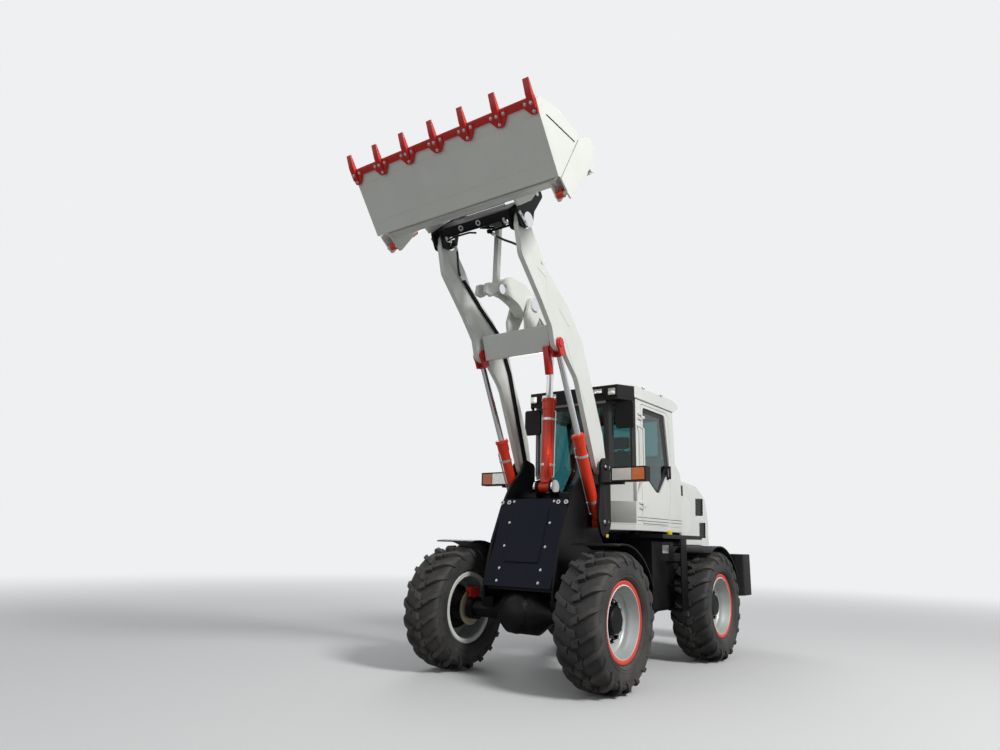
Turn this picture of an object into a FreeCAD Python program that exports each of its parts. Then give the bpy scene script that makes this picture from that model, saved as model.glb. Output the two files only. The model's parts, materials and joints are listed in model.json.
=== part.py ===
import FreeCAD, Part
import math
import os

# Articulated wheel loader with a raised boom and an opening bucket.
# Millimetres. +X is the machine's left, the bucket points to -Y, +Z is up.
# The origin is on the ground, below the pivot that joins the front and the rear frame.

V = FreeCAD.Vector

# Wheels
WHEELBASE = 2382
TRACK = 1672
TYRE_R = 585
TYRE_W = 410
LUG_COUNT = 20
LUG_H = 38
# a lug's width and its sweep from the middle to the shoulder, in degrees round the tyre
LUG_ANGLE = 6
LUG_SWEEP = 13
RIM_LIP_R = 335
RIM_SEAT_R = 304
RIM_W = 340
RIM_WALL = 12
DISC_IN = 130
HUB_R = 118
HUB_FLANGE_R = 190
BRAKE_R = 165

AXLE_Y = WHEELBASE / 2
WHEEL_X = TRACK / 2
AXLE_Z = TYRE_R
PAD_TOP = AXLE_Z + 125
BRAKE_X = 205

# Boom and its pins, at rest, as (y, z)
BOOM_PIVOT = (-589, 1964)
BOOM_TIP = (-2002, 4070)
LIFT_FOOT = (-614, 1425)
LIFT_EYE = (-1408, 3054)
TILT_FOOT = (-858, 1762)
TILT_EYE = (-775, 3337)
CRANK_PIVOT = (-1290, 3536)
LINK_FOOT = (-1781, 3559)
LINK_EYE = (-1762, 4271)
ARM_X = 456
ARM_T = 50
BEAM_HALF = 386
PIPE_R = 11
PIN_R = 32
SMALL_PIN_R = 28
PIN_GAP = 0.3
TIP_HUB_R = 78
TIP_BOSS_R = 98
CRANK_HUB_R = 50
CRANK_BOSS_R = 78
TILT_HUB_R = 45
TILT_BOSS_R = 70
CRANK_HALF = 66
HOSE_R = 11
HOSE_NECK = 55
TIP_CAP_IN = 378
COUPLER_EARS = (388, 490)
EAR_T = 24
BRACKET_X = 92
BRACKET_T = 30
TILT_LUG_X = 70
TILT_LUG_T = 24

# Bucket and its quick coupler, drawn level: u forward and v up from the boom's tip pin
BUCKET_PITCH = 55
BUCKET_HALF = 1062
FLOOR_V = -230
FLOOR_REAR_U = 285
EDGE_U = 953
TOOTH_TIP_U = 1093
TOOTH_COUNT = 7
CLAM_PIVOT = (356, 462)
CLAM_CYL_FOOT = (136, -149)
CLAM_CYL_EYE = (222, 490)
PLATE = 16

# What the boom, the bucket and the clam turn through, in degrees, and the steering's side reach
BOOM_DROP = 97
CLAM_OPEN = 60
TILT_STROKE = 238
STEER_STROKE = 168

# Frames
STEER_PIN_R = 35
LUG_T = 30
UPPER_HINGE_Z = 1020
LOWER_HINGE_Z = 520
HINGE_R = 110
RUN = 5
BULKHEAD_Y = 300
TOWER_IN_X = 372
TOWER_BACK = 500
TOWER_NOSE = -1340
SHELF_RISE = 75
TOWER_IN_T = 24
TOWER_OUT_X = 516
TOWER_OUT_T = 24
COVER_TOP = (-1050, 1630)
COVER_FOOT = (-1346, 812)
SHAFT_Z = 700
SHAFT_R = 32
STEER_ROD = (265, -240, 800)
STEER_FOOT = (300, 420, 800)
STEER_FOOT_R = 14
STEER_EYE_R = 24
STEER_EYE_H = 60

# Heights over the wheels, which the hood, the deck and the cab share
HOOD_LOW_Z = AXLE_Z + TYRE_R + 65
HOOD_TOP_Z = HOOD_LOW_Z + 733
DECK_Z = HOOD_LOW_Z + 95
DECK_T = 40

# Cab
CAB_HALF = 630
CAB_FRONT = -270
CAB_CORNER_Y = -100
CAB_CORNER_X = 400
CAB_REAR = 1100
CAB_REAR_TOP = 890
CAB_FLOOR_Z = DECK_Z + 32
CAB_EAVE_Z = CAB_FLOOR_Z + 1383
ROOF_Z = CAB_EAVE_Z + 145
CAB_WAIST_Z = HOOD_TOP_Z + 34
WALL = 42
GLASS_T = 6

# Headlamps
LAMP_IN = 614
LAMP_W = 370
LAMP_H = 142
LAMP_Y = -650
LAMP_Z = 1814
RAIL_R = 11

# Hood and rear end
HOOD_FRONT = CAB_REAR + 20
HOOD_REAR = 2300
HOOD_FRONT_HALF = 600
HOOD_REAR_HALF = 500
HOOD_T = 25
VENT_DEPTH = 12
DECK_IN = 380
DECK_HALF = 885
TOW_R = 20
ENGINE_Z = 925
ENGINE_TOP = 1680
ENGINE_FRONT = 1330
ENGINE_REAR = 2150
DECK_REAR = 1010
WHEEL_GAP = 16
TANK_OUT = 720
TANK_LOW = DECK_Z - 770

# the rear end mirrors the reach of the teeth, so the origin is in the middle of the machine
PITCH = math.radians(BUCKET_PITCH)
TOOTH_TOP_V = FLOOR_V - 24
WEIGHT_FRONT = 2390
REAR_END = TOOTH_TIP_U * math.cos(PITCH) - TOOTH_TOP_V * math.sin(PITCH) - BOOM_TIP[0]


# Shape helpers

def box(x0, x1, y0, y1, z0, z1):
    return Part.makeBox(x1 - x0, y1 - y0, z1 - z0, V(x0, y0, z0))


def sides(box_args):
    x0, x1, y0, y1, z0, z1 = box_args
    return [box(x0, x1, y0, y1, z0, z1), box(-x1, -x0, y0, y1, z0, z1)]


def rod(p, q, r):
    axis = V(*q) - V(*p)
    return Part.makeCylinder(r, axis.Length, V(*p), axis)


def bar_x(point, x0, x1, r):
    return rod((x0, point[0], point[1]), (x1, point[0], point[1]), r)


def mirrored(shape):
    return shape.mirror(V(0, 0, 0), V(1, 0, 0))


def both(shape):
    return [shape, mirrored(shape)]


def fuse(shapes):
    whole = shapes[0].multiFuse(shapes[1:]) if len(shapes) > 1 else shapes[0]
    return whole.removeSplitter()


def outline(points, place):
    # each point is (u, v) or (u, v, corner radius); place turns (u, v) into a vector
    n = len(points)
    marks = []
    for i in range(n):
        u, v = points[i][:2]
        r = points[i][2] if len(points[i]) > 2 else 0
        if not r:
            marks.append(((u, v), None, (u, v)))
            continue
        pu, pv = points[i - 1][:2]
        nu, nv = points[(i + 1) % n][:2]
        la, lb = math.hypot(pu - u, pv - v), math.hypot(nu - u, nv - v)
        a = ((pu - u) / la, (pv - v) / la)
        b = ((nu - u) / lb, (nv - v) / lb)
        half = math.acos(max(-1, min(1, a[0] * b[0] + a[1] * b[1]))) / 2
        t = r / math.tan(half)
        mid = (a[0] + b[0], a[1] + b[1])
        lm = math.hypot(*mid)
        reach = r / math.sin(half) - r
        marks.append(((u + a[0] * t, v + a[1] * t),
                      (u + mid[0] / lm * reach, v + mid[1] / lm * reach),
                      (u + b[0] * t, v + b[1] * t)))
    edges = []
    for i in range(n):
        start, middle, end = marks[i]
        if middle:
            edges.append(Part.Arc(place(*start), place(*middle), place(*end)).toShape())
        after = marks[(i + 1) % n][0]
        if math.dist(end, after) > 0.01:
            edges.append(Part.LineSegment(place(*end), place(*after)).toShape())
    return Part.Wire(edges)


def plate(points, axis, low, high, holes=()):
    # an outline drawn in the plane across axis and pulled from low to high along it
    place = {"x": lambda u, v: V(low, u, v),
             "y": lambda u, v: V(u, low, v),
             "z": lambda u, v: V(u, v, low)}[axis]
    pull = {"x": V(high - low, 0, 0), "y": V(0, high - low, 0), "z": V(0, 0, high - low)}[axis]
    solid = Part.Face(outline(points, place)).extrude(pull)
    for hole in holes:
        solid = solid.cut(Part.Face(outline(hole, place)).extrude(pull))
    return solid


def ring(points, x0):
    # a closed (x, r) outline turned about the wheel's axis
    wire = outline(points, lambda x, r: V(x0 + x, 0, r))
    return Part.Face(wire).revolve(V(0, 0, 0), V(1, 0, 0), 360)


def tool(u, v):
    return (BOOM_TIP[0] - u * math.cos(PITCH) + v * math.sin(PITCH),
            BOOM_TIP[1] + u * math.sin(PITCH) + v * math.cos(PITCH))


def tool_plate(points, x0, x1):
    return plate([tool(*p[:2]) + tuple(p[2:]) for p in points], "x", x0, x1)


def toward(p, q, distance):
    length = math.dist(p, q)
    return (p[0] + (q[0] - p[0]) * distance / length, p[1] + (q[1] - p[1]) * distance / length)


def save(name, shapes):
    shape = fuse(shapes)
    for solid in shape.Solids:
        if not solid.isValid() or solid.Volume < 1:
            print("bad solid in", name)
    Part.makeCompound(shape.Solids).exportStep("parts/" + name + ".step")


# Wheels

def tyre(x0):
    # flat facets, with a swept bar for each lug; the two sides' lugs are half a step apart
    step, width, sweep = (math.radians(v) for v in (360 / LUG_COUNT, LUG_ANGLE, LUG_SWEEP))
    half, seat = TYRE_W / 2, RIM_SEAT_R + 2
    bead = RIM_W / 2 - 18
    base, top = TYRE_R - LUG_H, TYRE_R
    # the wall's rings as (x, r): the first two keep the lugs' spacing, the others are even
    rings = [(half - 5, base - 10), (half, RIM_LIP_R + 95), (half - 32, RIM_LIP_R + 14),
             (bead, RIM_LIP_R + 5), (bead, seat)]
    faces, seats = [], {}

    def at(x, r, angle):
        return V(x0 + x, -r * math.cos(angle), r * math.sin(angle))

    def patch(*corners):
        for b, c in zip(corners[1:], corners[2:]):
            faces.append(Part.Face(Part.makePolygon([corners[0], b, c, corners[0]])))

    for side in (1, -1):
        first = -math.pi / 2 + (step / 2 if side < 0 else 0)
        for i in range(LUG_COUNT):
            a = first + i * step
            b, after = a + width, a + step
            low = [at(0, base, v) for v in (b, a + step / 2, b + step / 2, after)]
            edge = [at(side * rings[0][0], rings[0][1], v + sweep) for v in (a, b, after)]
            inner = [at(0, base, v) for v in (a, b)]
            up = [at(0, top, a), at(0, top, b)]
            out = [at(side * (half - 20), top - 2, v + sweep) for v in (a, b)]
            patch(edge[1], low[0], low[1], low[2], edge[2])
            patch(edge[2], low[2], low[3])
            patch(up[0], up[1], out[1], out[0])
            patch(inner[0], up[0], out[0], edge[0])
            patch(inner[1], up[1], out[1], edge[1])
            patch(out[0], out[1], edge[1], edge[0])
            patch(inner[0], inner[1], up[1], up[0])
        marks = range(2 * LUG_COUNT)
        uneven = [first + sweep + m // 2 * step + m % 2 * width for m in marks]
        even = [first + sweep + (m * step - step / 2 + width) / 2 for m in marks]
        loops = [[at(side * x, r, v) for v in (uneven if i < 2 else even)]
                 for i, (x, r) in enumerate(rings)]
        for near, far in zip(loops, loops[1:]):
            for m in marks:
                patch(near[m - 1], near[m], far[m], far[m - 1])
        seats[side] = loops[-1]
    for m in range(2 * LUG_COUNT):
        patch(seats[1][m], seats[1][m - 1], seats[-1][m - 2], seats[-1][m - 1])
    skin = Part.makeShell(faces)
    skin.sewShape()
    solid = Part.Solid(skin)
    if solid.Volume < 0:
        solid.reverse()
    return solid


def rim(x0, side):
    # the disc is welded in towards the machine's outside
    half = RIM_W / 2
    barrel = ring([(-half, RIM_LIP_R), (-half, RIM_SEAT_R - RIM_WALL), (half, RIM_SEAT_R - RIM_WALL),
                   (half, RIM_LIP_R), (half - 10, RIM_LIP_R), (half - 14, RIM_SEAT_R),
                   (-half + 14, RIM_SEAT_R), (-half + 10, RIM_LIP_R)], x0)
    face = x0 + side * (half - DISC_IN)
    disc = rod((face - 8, 0, 0), (face + 8, 0, 0), RIM_SEAT_R - RIM_WALL + 2)
    hub = rod((face - side * 60, 0, 0), (face + side * 70, 0, 0), HUB_R)
    flange = rod((face + side * 6, 0, 0), (face + side * 26, 0, 0), HUB_FLANGE_R)
    brake = rod((x0 - side * BRAKE_X, 0, 0), (x0 - side * 190, 0, 0), BRAKE_R)
    neck = rod((x0 - side * 195, 0, 0), (face, 0, 0), 90)
    return fuse([barrel, disc, hub, flange, brake, neck])


def wheels():
    for end, y in (("front", -AXLE_Y), ("rear", AXLE_Y)):
        for side, name in ((1, "left"), (-1, "right")):
            x0 = side * WHEEL_X
            for label, shape in (("tyre", tyre(x0)), ("rim", rim(x0, side))):
                shape.translate(V(0, y, AXLE_Z))
                save(label + "_" + end + "_" + name, [shape])


# Axles and frames

def axle(y, nose):
    reach = WHEEL_X - BRAKE_X - 0.4
    z = AXLE_Z
    parts = [rod((-reach, y, z), (reach, y, z), 78)]
    parts.append(rod((-150, y, z), (150, y, z), 190))
    parts += both(Part.makeCone(190, 78, 150, V(150, y, z), V(1, 0, 0)))
    parts.append(Part.makeCone(120, 75, 140, V(0, y + nose * 170, z), V(0, nose, 0)))
    parts.append(Part.makeCone(175, 120, 70, V(0, y - nose * 150, z), V(0, -nose, 0)))
    parts += sides((320, 440, y - 80, y + 80, z + 30, PAD_TOP))
    parts += both(rod((reach - 70, y, z), (reach, y, z), 105))
    # a brake caliper over each disc
    disc_in, disc_out = WHEEL_X - BRAKE_X, WHEEL_X - 190
    for caliper in sides((disc_in - 35, disc_out + 15, y - 70, y + 70, z + 103, z + BRAKE_R + 25)):
        slot = rod((-disc_out - 5, y, z), (-disc_in + 5, y, z), BRAKE_R + 5)
        parts.append(caliper.cut(slot).cut(mirrored(slot)))
    # propeller shaft to the cross joint on the steering pivot
    parts.append(rod((0, y + nose * 280, z), (0, -nose * 30, SHAFT_Z), SHAFT_R))
    if nose > 0:
        parts.append(Part.makeSphere(46, V(0, 0, SHAFT_Z)))
        return fuse(parts).cut(box(-60, 60, 47, 200, SHAFT_Z - 90, SHAFT_Z + 90))
    parts.append(rod((0, 100, SHAFT_Z - 4), (0, 12, SHAFT_Z), 56))
    whole = fuse(parts).cut(Part.makeSphere(48, V(0, 0, SHAFT_Z)))
    return whole.cut(box(-90, 90, -90, 12, SHAFT_Z - 90, SHAFT_Z + 90))


def front_frame():
    top, foot = BOOM_PIVOT[1], LIFT_FOOT[1]
    inner = [(-TOWER_BACK, top + 66, 60), (-680, top + 111, 60), (-735, top - 4, 60),
             (-950, top - 204, 60), (-1080, top - 404, 60), (-1230, 1230, 60),
             (TOWER_NOSE, PAD_TOP + 120, 40), (TOWER_NOSE, PAD_TOP, 10), (-1040, PAD_TOP, 10),
             (-960, PAD_TOP - 110, 40), (-BULKHEAD_Y, 560, 40), (-BULKHEAD_Y, 1100, 40),
             (-TOWER_BACK, 1340, 80)]
    outer = [(-510, top + 66, 60), (-670, top + 96, 60), (-700, top - 4, 60), (-760, foot + 25, 60),
             (-700, foot - 125, 60), (-590, foot - 145, 60), (-510, foot - 25, 60)]
    parts = []
    for side in (1, -1):
        x0, x1 = sorted((side * TOWER_IN_X, side * (TOWER_IN_X + TOWER_IN_T)))
        parts.append(plate(inner, "x", x0, x1))
        x0, x1 = sorted((side * TOWER_OUT_X, side * (TOWER_OUT_X + TOWER_OUT_T)))
        parts.append(plate(outer, "x", x0, x1))
        # webs that tie the outer plate to the inner one behind the lift cylinder
        x0, x1 = sorted((side * (TOWER_IN_X + 10), side * (TOWER_OUT_X + 10)))
        parts.append(box(x0, x1, -530, -512, 1400, 1800))
        for point in (BOOM_PIVOT, LIFT_FOOT):
            x0, x1 = sorted((side * (TOWER_IN_X - 12), side * (TOWER_OUT_X + TOWER_OUT_T + 14)))
            parts.append(bar_x(point, x0, x1, PIN_R))
    x = TOWER_IN_X + 4
    parts.append(box(-x, x, -BULKHEAD_Y - 30, -BULKHEAD_Y, 540, 1120))
    shelf = PAD_TOP + SHELF_RISE
    parts.append(box(-x, x, TOWER_NOSE + 40, -1060, shelf, shelf + 25))
    parts.append(box(-x, x, -760, -730, 1180, 1640))
    parts.append(bar_x((-760, 1660), -x, x, 60))
    # lugs for the foot of the tilt cylinder, wide enough for its barrel to swing between
    for side in (1, -1):
        x0, x1 = sorted((side * TILT_LUG_X, side * (TILT_LUG_X + TILT_LUG_T)))
        parts.append(plate([(-745, 1560, 20), (-745, 1720, 40), (-840, 1822, 50), (-920, 1790, 50),
                            (-910, 1690, 40), (-800, 1560, 20)], "x", x0, x1))
        parts.append(bar_x(TILT_FOOT, x0, x1, TILT_BOSS_R))
    # hinge tongues to the rear frame
    for z in (UPPER_HINGE_Z, LOWER_HINGE_Z):
        tongue = [(-230, -BULKHEAD_Y - 10), (230, -BULKHEAD_Y - 10), (HINGE_R, 10, 70),
                  (HINGE_R, HINGE_R, 90), (-HINGE_R, HINGE_R, 90), (-HINGE_R, 10, 70)]
        tongue = plate(tongue, "z", z, z + LUG_T)
        parts.append(tongue.cut(rod((0, 0, z - 1), (0, 0, z + LUG_T + 1), STEER_PIN_R + 0.05)))
    # brackets that carry the steering cylinders' rods
    for side in (1, -1):
        x0, x1 = sorted((side * 225, side * 305))
        parts.append(box(x0, x1, -BULKHEAD_Y - 10, -200, 745, 765))
        parts.append(box(x0, x1, -BULKHEAD_Y - 10, -200, 835, 855))
    whole = fuse(parts)
    whole = whole.cut(rod((0, -BULKHEAD_Y - 40, 655), (0, -BULKHEAD_Y + 10, 655), 75))
    whole = whole.cut(bar_x(TILT_FOOT, -120, 120, TILT_HUB_R + 0.05))
    return whole


def rear_frame():
    parts = []
    for side in (1, -1):
        x0, x1 = sorted((side * 372, side * 396))
        rail = [(BULKHEAD_Y, 560, 40), (BULKHEAD_Y, 1110, 40), (440, DECK_Z - DECK_T, 60),
                (1060, DECK_Z - DECK_T, 60), (WEIGHT_FRONT, HOOD_LOW_Z - 10), (WEIGHT_FRONT, 900, 60),
                (1560, PAD_TOP + 140, 100), (1400, PAD_TOP, 30), (980, PAD_TOP, 30), (800, 620, 80)]
        parts.append(plate(rail, "x", x0, x1))
    parts.append(box(-380, 380, BULKHEAD_Y, BULKHEAD_Y + 30, 560, 1110))
    shelf = PAD_TOP + SHELF_RISE
    parts.append(box(-380, 380, 1060, 1320, shelf, shelf + 25))
    for y in (1420, 2000):
        parts.append(box(-380, 380, y, y + 80, ENGINE_Z - 35, ENGINE_Z))
    for y in (360, 980):
        parts += sides((300, DECK_IN - 2, y, y + 90, 1150, CAB_FLOOR_Z))
    parts.append(box(-380, 380, WEIGHT_FRONT - 60, WEIGHT_FRONT - 30, 900, HOOD_LOW_Z - 5))
    for z in (UPPER_HINGE_Z, LOWER_HINGE_Z):
        for z0 in (z - RUN - LUG_T, z + LUG_T + RUN):
            ear = [(-230, BULKHEAD_Y + 10), (-HINGE_R, -10, 70), (-HINGE_R, -HINGE_R, 90),
                   (HINGE_R, -HINGE_R, 90), (HINGE_R, -10, 70), (230, BULKHEAD_Y + 10)]
            parts.append(plate(ear, "z", z0, z0 + LUG_T))
        parts.append(rod((0, 0, z - RUN - LUG_T - 20), (0, 0, z + 2 * LUG_T + RUN + 20), STEER_PIN_R))
    for side in (1, -1):
        x0, x1 = sorted((side * 260, side * 380))
        for z in (745, 835):
            parts.append(box(x0, x1, 380, 460, z, z + 20))
        parts.append(rod((side * STEER_FOOT[0], STEER_FOOT[1], 735),
                         (side * STEER_FOOT[0], STEER_FOOT[1], 865), STEER_FOOT_R))
    whole = fuse(parts)
    whole = whole.cut(rod((0, BULKHEAD_Y - 10, 680), (0, BULKHEAD_Y + 40, 680), 75))
    for side in (1, -1):
        x0, x1 = sorted((side * 190, side * 365))
        whole = whole.cut(box(x0, x1, BULKHEAD_Y - 10, BULKHEAD_Y + 40, 725, 875))
    return whole


def steering_cylinders():
    for side, name in ((1, "left"), (-1, "right")):
        foot = V(side * STEER_FOOT[0], STEER_FOOT[1], STEER_FOOT[2])
        eye = V(side * STEER_ROD[0], STEER_ROD[1], STEER_ROD[2])
        along = (eye - foot).normalize()
        length = (eye - foot).Length
        rise = V(0, 0, STEER_EYE_H / 2)
        barrel_end = length - STEER_STROKE - STEER_EYE_R - 10
        knuckle = Part.makeCylinder(STEER_EYE_R + 2, STEER_EYE_H, foot - rise, V(0, 0, 1))
        barrel = fuse([Part.makeCylinder(34, barrel_end - 20, foot + along * 20, along), knuckle])
        barrel = barrel.cut(Part.makeCylinder(STEER_FOOT_R + 0.05, 200, foot - V(0, 0, 100), V(0, 0, 1)))
        bottom = STEER_EYE_R + 20
        barrel = barrel.cut(Part.makeCylinder(18.05, length, foot + along * bottom, along))
        save("steer_barrel_" + name, [barrel])
        start = bottom + STEER_STROKE + 5
        shaft = Part.makeCylinder(18, length - start, foot + along * start, along)
        eye_end = Part.makeCylinder(STEER_EYE_R, STEER_EYE_H, eye - rise, V(0, 0, 1))
        save("steer_rod_" + name, [fuse([shaft, eye_end])])


def cover_plate():
    # sloped plate over the front of the tower, dished in the middle
    length = math.dist(COVER_TOP, COVER_FOOT)
    a = ((COVER_FOOT[0] - COVER_TOP[0]) / length, (COVER_FOOT[1] - COVER_TOP[1]) / length)

    def panel(s0, s1, d0, d1, half):
        # from s0 to s1 down the slope, and from d0 to d1 out of it
        corners = [(s0, d0), (s0, d1), (s1, d1), (s1, d0)]
        points = [(COVER_TOP[0] + s * a[0] + d * a[1], COVER_TOP[1] + s * a[1] - d * a[0])
                  for s, d in corners]
        return plate(points, "x", -half, half)

    return [panel(0, length, 0, 14, TOWER_IN_X), panel(110, 640, 10, 30, 190)]


def front_fenders():
    parts = []
    for side in (1, -1):
        x0, x1 = sorted((side * 560, side * 1020))
        r = TYRE_R + 45
        shell = rod((x0, -AXLE_Y, AXLE_Z), (x1, -AXLE_Y, AXLE_Z), r + 12)
        shell = shell.cut(rod((x0 - 1, -AXLE_Y, AXLE_Z), (x1 + 1, -AXLE_Y, AXLE_Z), r))
        keep = box(x0, x1, -AXLE_Y - 120, -AXLE_Y + 660, AXLE_Z + 240, AXLE_Z + 700)
        parts.append(shell.common(keep))
        # stay from the frame's plate, behind the sweep of the lift cylinder
        parts.append(rod((side * (TOWER_IN_X + TOWER_IN_T), -640, 890), (side * 1000, -640, 890), 22))
    return parts


# Boom

def boom_arm(side):
    x0, x1 = sorted((side * (ARM_X - ARM_T / 2), side * (ARM_X + ARM_T / 2)))
    side_view = [(-500, 1925, 60), (-600, 1870, 60), (-700, 1960, 120), (-1060, 2780, 200),
                 (-1290, 2996, 40), (-1400, 2986, 50), (-1480, 3020, 60), (-1530, 3190, 80),
                 (-1700, 3390, 200),
                 (-2040, 3740, 120), (-2110, 4010, 70), (-2080, 4150, 70), (-1950, 4150, 60),
                 (-1880, 4020, 120), (-1730, 3860, 100), (-1640, 3730, 60), (-1240, 3460, 200),
                 (-960, 3170, 300), (-560, 2300, 200), (-500, 2050, 60)]
    arm = plate(side_view, "x", x0, x1)
    boss_pivot = bar_x(BOOM_PIVOT, x0 - 6, x1 + 6, 75)
    boss_tip = bar_x(BOOM_TIP, x0 - 4, x1 + 4, TIP_BOSS_R)
    arm = fuse([arm, boss_pivot, boss_tip])
    arm = arm.cut(bar_x(BOOM_PIVOT, x0 - 50, x1 + 50, PIN_R + 0.05))
    return arm.cut(bar_x(BOOM_TIP, x0 - 50, x1 + 50, TIP_HUB_R + 0.05))


def boom():
    # the box beam is set back at its ends, where the lift cylinders' forks turn
    reach = ARM_X - ARM_T / 2 + 2
    beam = plate([(-1472, 3238, 12), (-1402, 2998, 12), (-1215, 3050), (-1262, 3300)],
                 "x", -BEAM_HALF, BEAM_HALF)
    ends = plate([(-1345, 3276), (-1280, 3032), (-1215, 3050), (-1262, 3300)], "x", -reach, reach)
    parts = [boom_arm(1), boom_arm(-1), beam, ends]
    for side in (1, -1):
        x0, x1 = sorted((side * BRACKET_X, side * (BRACKET_X + BRACKET_T)))
        parts.append(plate([(-1440, 3350, 20), (-1420, 3230), (-1290, 3260), (-1154, 3500, 40),
                            (-1225, 3600, 50), (-1352, 3605, 50)], "x", x0, x1))
        parts.append(bar_x(CRANK_PIVOT, x0, x1, CRANK_BOSS_R))
    whole = fuse(parts)
    return whole.cut(bar_x(CRANK_PIVOT, -200, 200, CRANK_HUB_R + 0.05))


PIPE_X = ARM_X - ARM_T / 2 - PIPE_R - 0.3
PIPE_RUNS = [(-640, 2060), (-960, 2960), (-1190, 3350), (-1480, 3530), (-1790, 3760)]
# each hose's swivel on the tip pins' axis, and its route as (x, y, z) from the pipe up to the swivel's neck
SWIVEL_RIGHT = -362
SWIVEL_LEFT = 70
HOSE_RIGHT = [(-PIPE_X, -1790, 3760), (-PIPE_X, -1833, 3792), (-396, -1893, 3880), (-362, -1937, 3975)]
HOSE_LEFT = [(PIPE_X, -1790, 3760), (PIPE_X, -1848, 3803), (392, -1908, 3860), (318, -1944, 3912),
             (228, -1950, 3957), (156, -1972, 4001)]


def hose_exit(swivel_x, ahead):
    # the end of the swivel's neck, in line with the hose's last run
    swivel = V(swivel_x, *BOOM_TIP)
    return swivel + (V(*ahead) - swivel).normalize() * HOSE_NECK


def boom_pipes():
    # two steel lines along the inner face of each arm; a hose goes on from the end of the lower one
    parts = []
    for side in (1, -1):
        for shift in (0, 38):
            stops = [(side * PIPE_X, y + shift, z) for y, z in PIPE_RUNS]
            parts += [rod(p, q, PIPE_R) for p, q in zip(stops, stops[1:])]
            parts += [Part.makeSphere(PIPE_R, V(*p)) for p in stops[1:-1]]
    # swivels on the axis of the boom's tip pins, where the hoses end, and the left one's crosswise pipe
    inner = TIP_CAP_IN - PIN_GAP
    parts.append(bar_x(BOOM_TIP, SWIVEL_LEFT, inner, PIPE_R))
    parts.append(bar_x(BOOM_TIP, SWIVEL_LEFT - 14, SWIVEL_LEFT + 14, 20))
    parts.append(bar_x(BOOM_TIP, -inner, SWIVEL_RIGHT + 15, 20))
    for x, route in ((SWIVEL_LEFT, HOSE_LEFT), (SWIVEL_RIGHT, HOSE_RIGHT)):
        parts.append(rod((x, *BOOM_TIP), hose_exit(x, route[-1]), HOSE_R + 3))
    return parts


def bent_tube(points, r):
    # a round hose along the points' runs, with an arc at each bend
    stops = [V(*p) for p in points]
    edges, turns = [], []
    last = stops[0]
    for p, q, s in zip(stops, stops[1:], stops[2:]):
        a, b = (p - q).normalize(), (s - q).normalize()
        half = a.getAngle(b) / 2
        reach = 0.45 * min((p - q).Length, (s - q).Length)
        turn = reach * math.tan(half)
        middle = q + (a + b).normalize() * (turn / math.sin(half) - turn)
        edges.append(Part.LineSegment(last, q + a * reach).toShape())
        edges.append(Part.Arc(q + a * reach, middle, q + b * reach).toShape())
        last = q + b * reach
        turns.append(round(turn))
    edges.append(Part.LineSegment(last, stops[-1]).toShape())
    line = Part.Wire(edges)
    ring_edge = Part.makeCircle(r, stops[0], stops[1] - stops[0])
    print("hose", round(line.Length), "mm long, bends", turns)
    return line.makePipeShell([Part.Wire(ring_edge)], True, False)


def hoses():
    for name, x, route in (("right", SWIVEL_RIGHT, HOSE_RIGHT), ("left", SWIVEL_LEFT, HOSE_LEFT)):
        save("hose_" + name, [bent_tube(route + [tuple(hose_exit(x, route[-1]))], HOSE_R)])


# Tilt linkage

def crank():
    lever = [(-2022, 3455, 25), (-2000, 3560, 40), (-1840, 3605, 100), (-1660, 3735, 200),
             (-1400, 3735, 240), (-1130, 3640, 160), (-760, 3420, 60), (-705, 3330, 50),
             (-770, 3260, 50), (-860, 3290, 60), (-1130, 3480, 90), (-1200, 3440, 50),
             (-1370, 3410, 60), (-1480, 3500, 160), (-1640, 3535, 120), (-1830, 3530, 60),
             (-1930, 3450, 40)]
    # two cheeks at the rear, where the tilt cylinder's rod runs between them
    solid = plate(lever, "x", -CRANK_HALF, CRANK_HALF)
    solid = fuse([solid, bar_x(CRANK_PIVOT, -90, 90, 80)])
    front = box(-34, 34, LINK_FOOT[0] - 300, LINK_FOOT[0] + 215, LINK_FOOT[1] - 140, LINK_FOOT[1] + 200)
    rear = box(-42, 42, CRANK_PIVOT[0] + 110, TILT_EYE[0] + 140, TILT_EYE[1] - 200, TILT_EYE[1] + 400)
    solid = solid.cut(front).cut(rear)
    for side in (1, -1):
        x0, x1 = sorted((side * (CRANK_HALF - 2), side * (CRANK_HALF + 10)))
        solid = solid.fuse(bar_x(TILT_EYE, x0, x1, 40))
    solid = solid.cut(bar_x(LINK_FOOT, -100, 100, SMALL_PIN_R + 0.05))
    return solid.cut(bar_x(CRANK_PIVOT, -200, 200, PIN_R + 0.05))


def bushed_bar(p, q, half, width, eye, bore):
    # a flat link with a round eye at each end, in the machine's middle plane
    length = math.dist(p, q)
    n = ((q[1] - p[1]) / length * width / 2, -(q[0] - p[0]) / length * width / 2)
    flat = plate([(p[0] + n[0], p[1] + n[1]), (q[0] + n[0], q[1] + n[1]),
                  (q[0] - n[0], q[1] - n[1]), (p[0] - n[0], p[1] - n[1])], "x", -half, half)
    whole = fuse([flat, bar_x(p, -half, half, eye), bar_x(q, -half, half, eye)])
    return whole.cut(bar_x(p, -half - 5, half + 5, bore))


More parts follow.
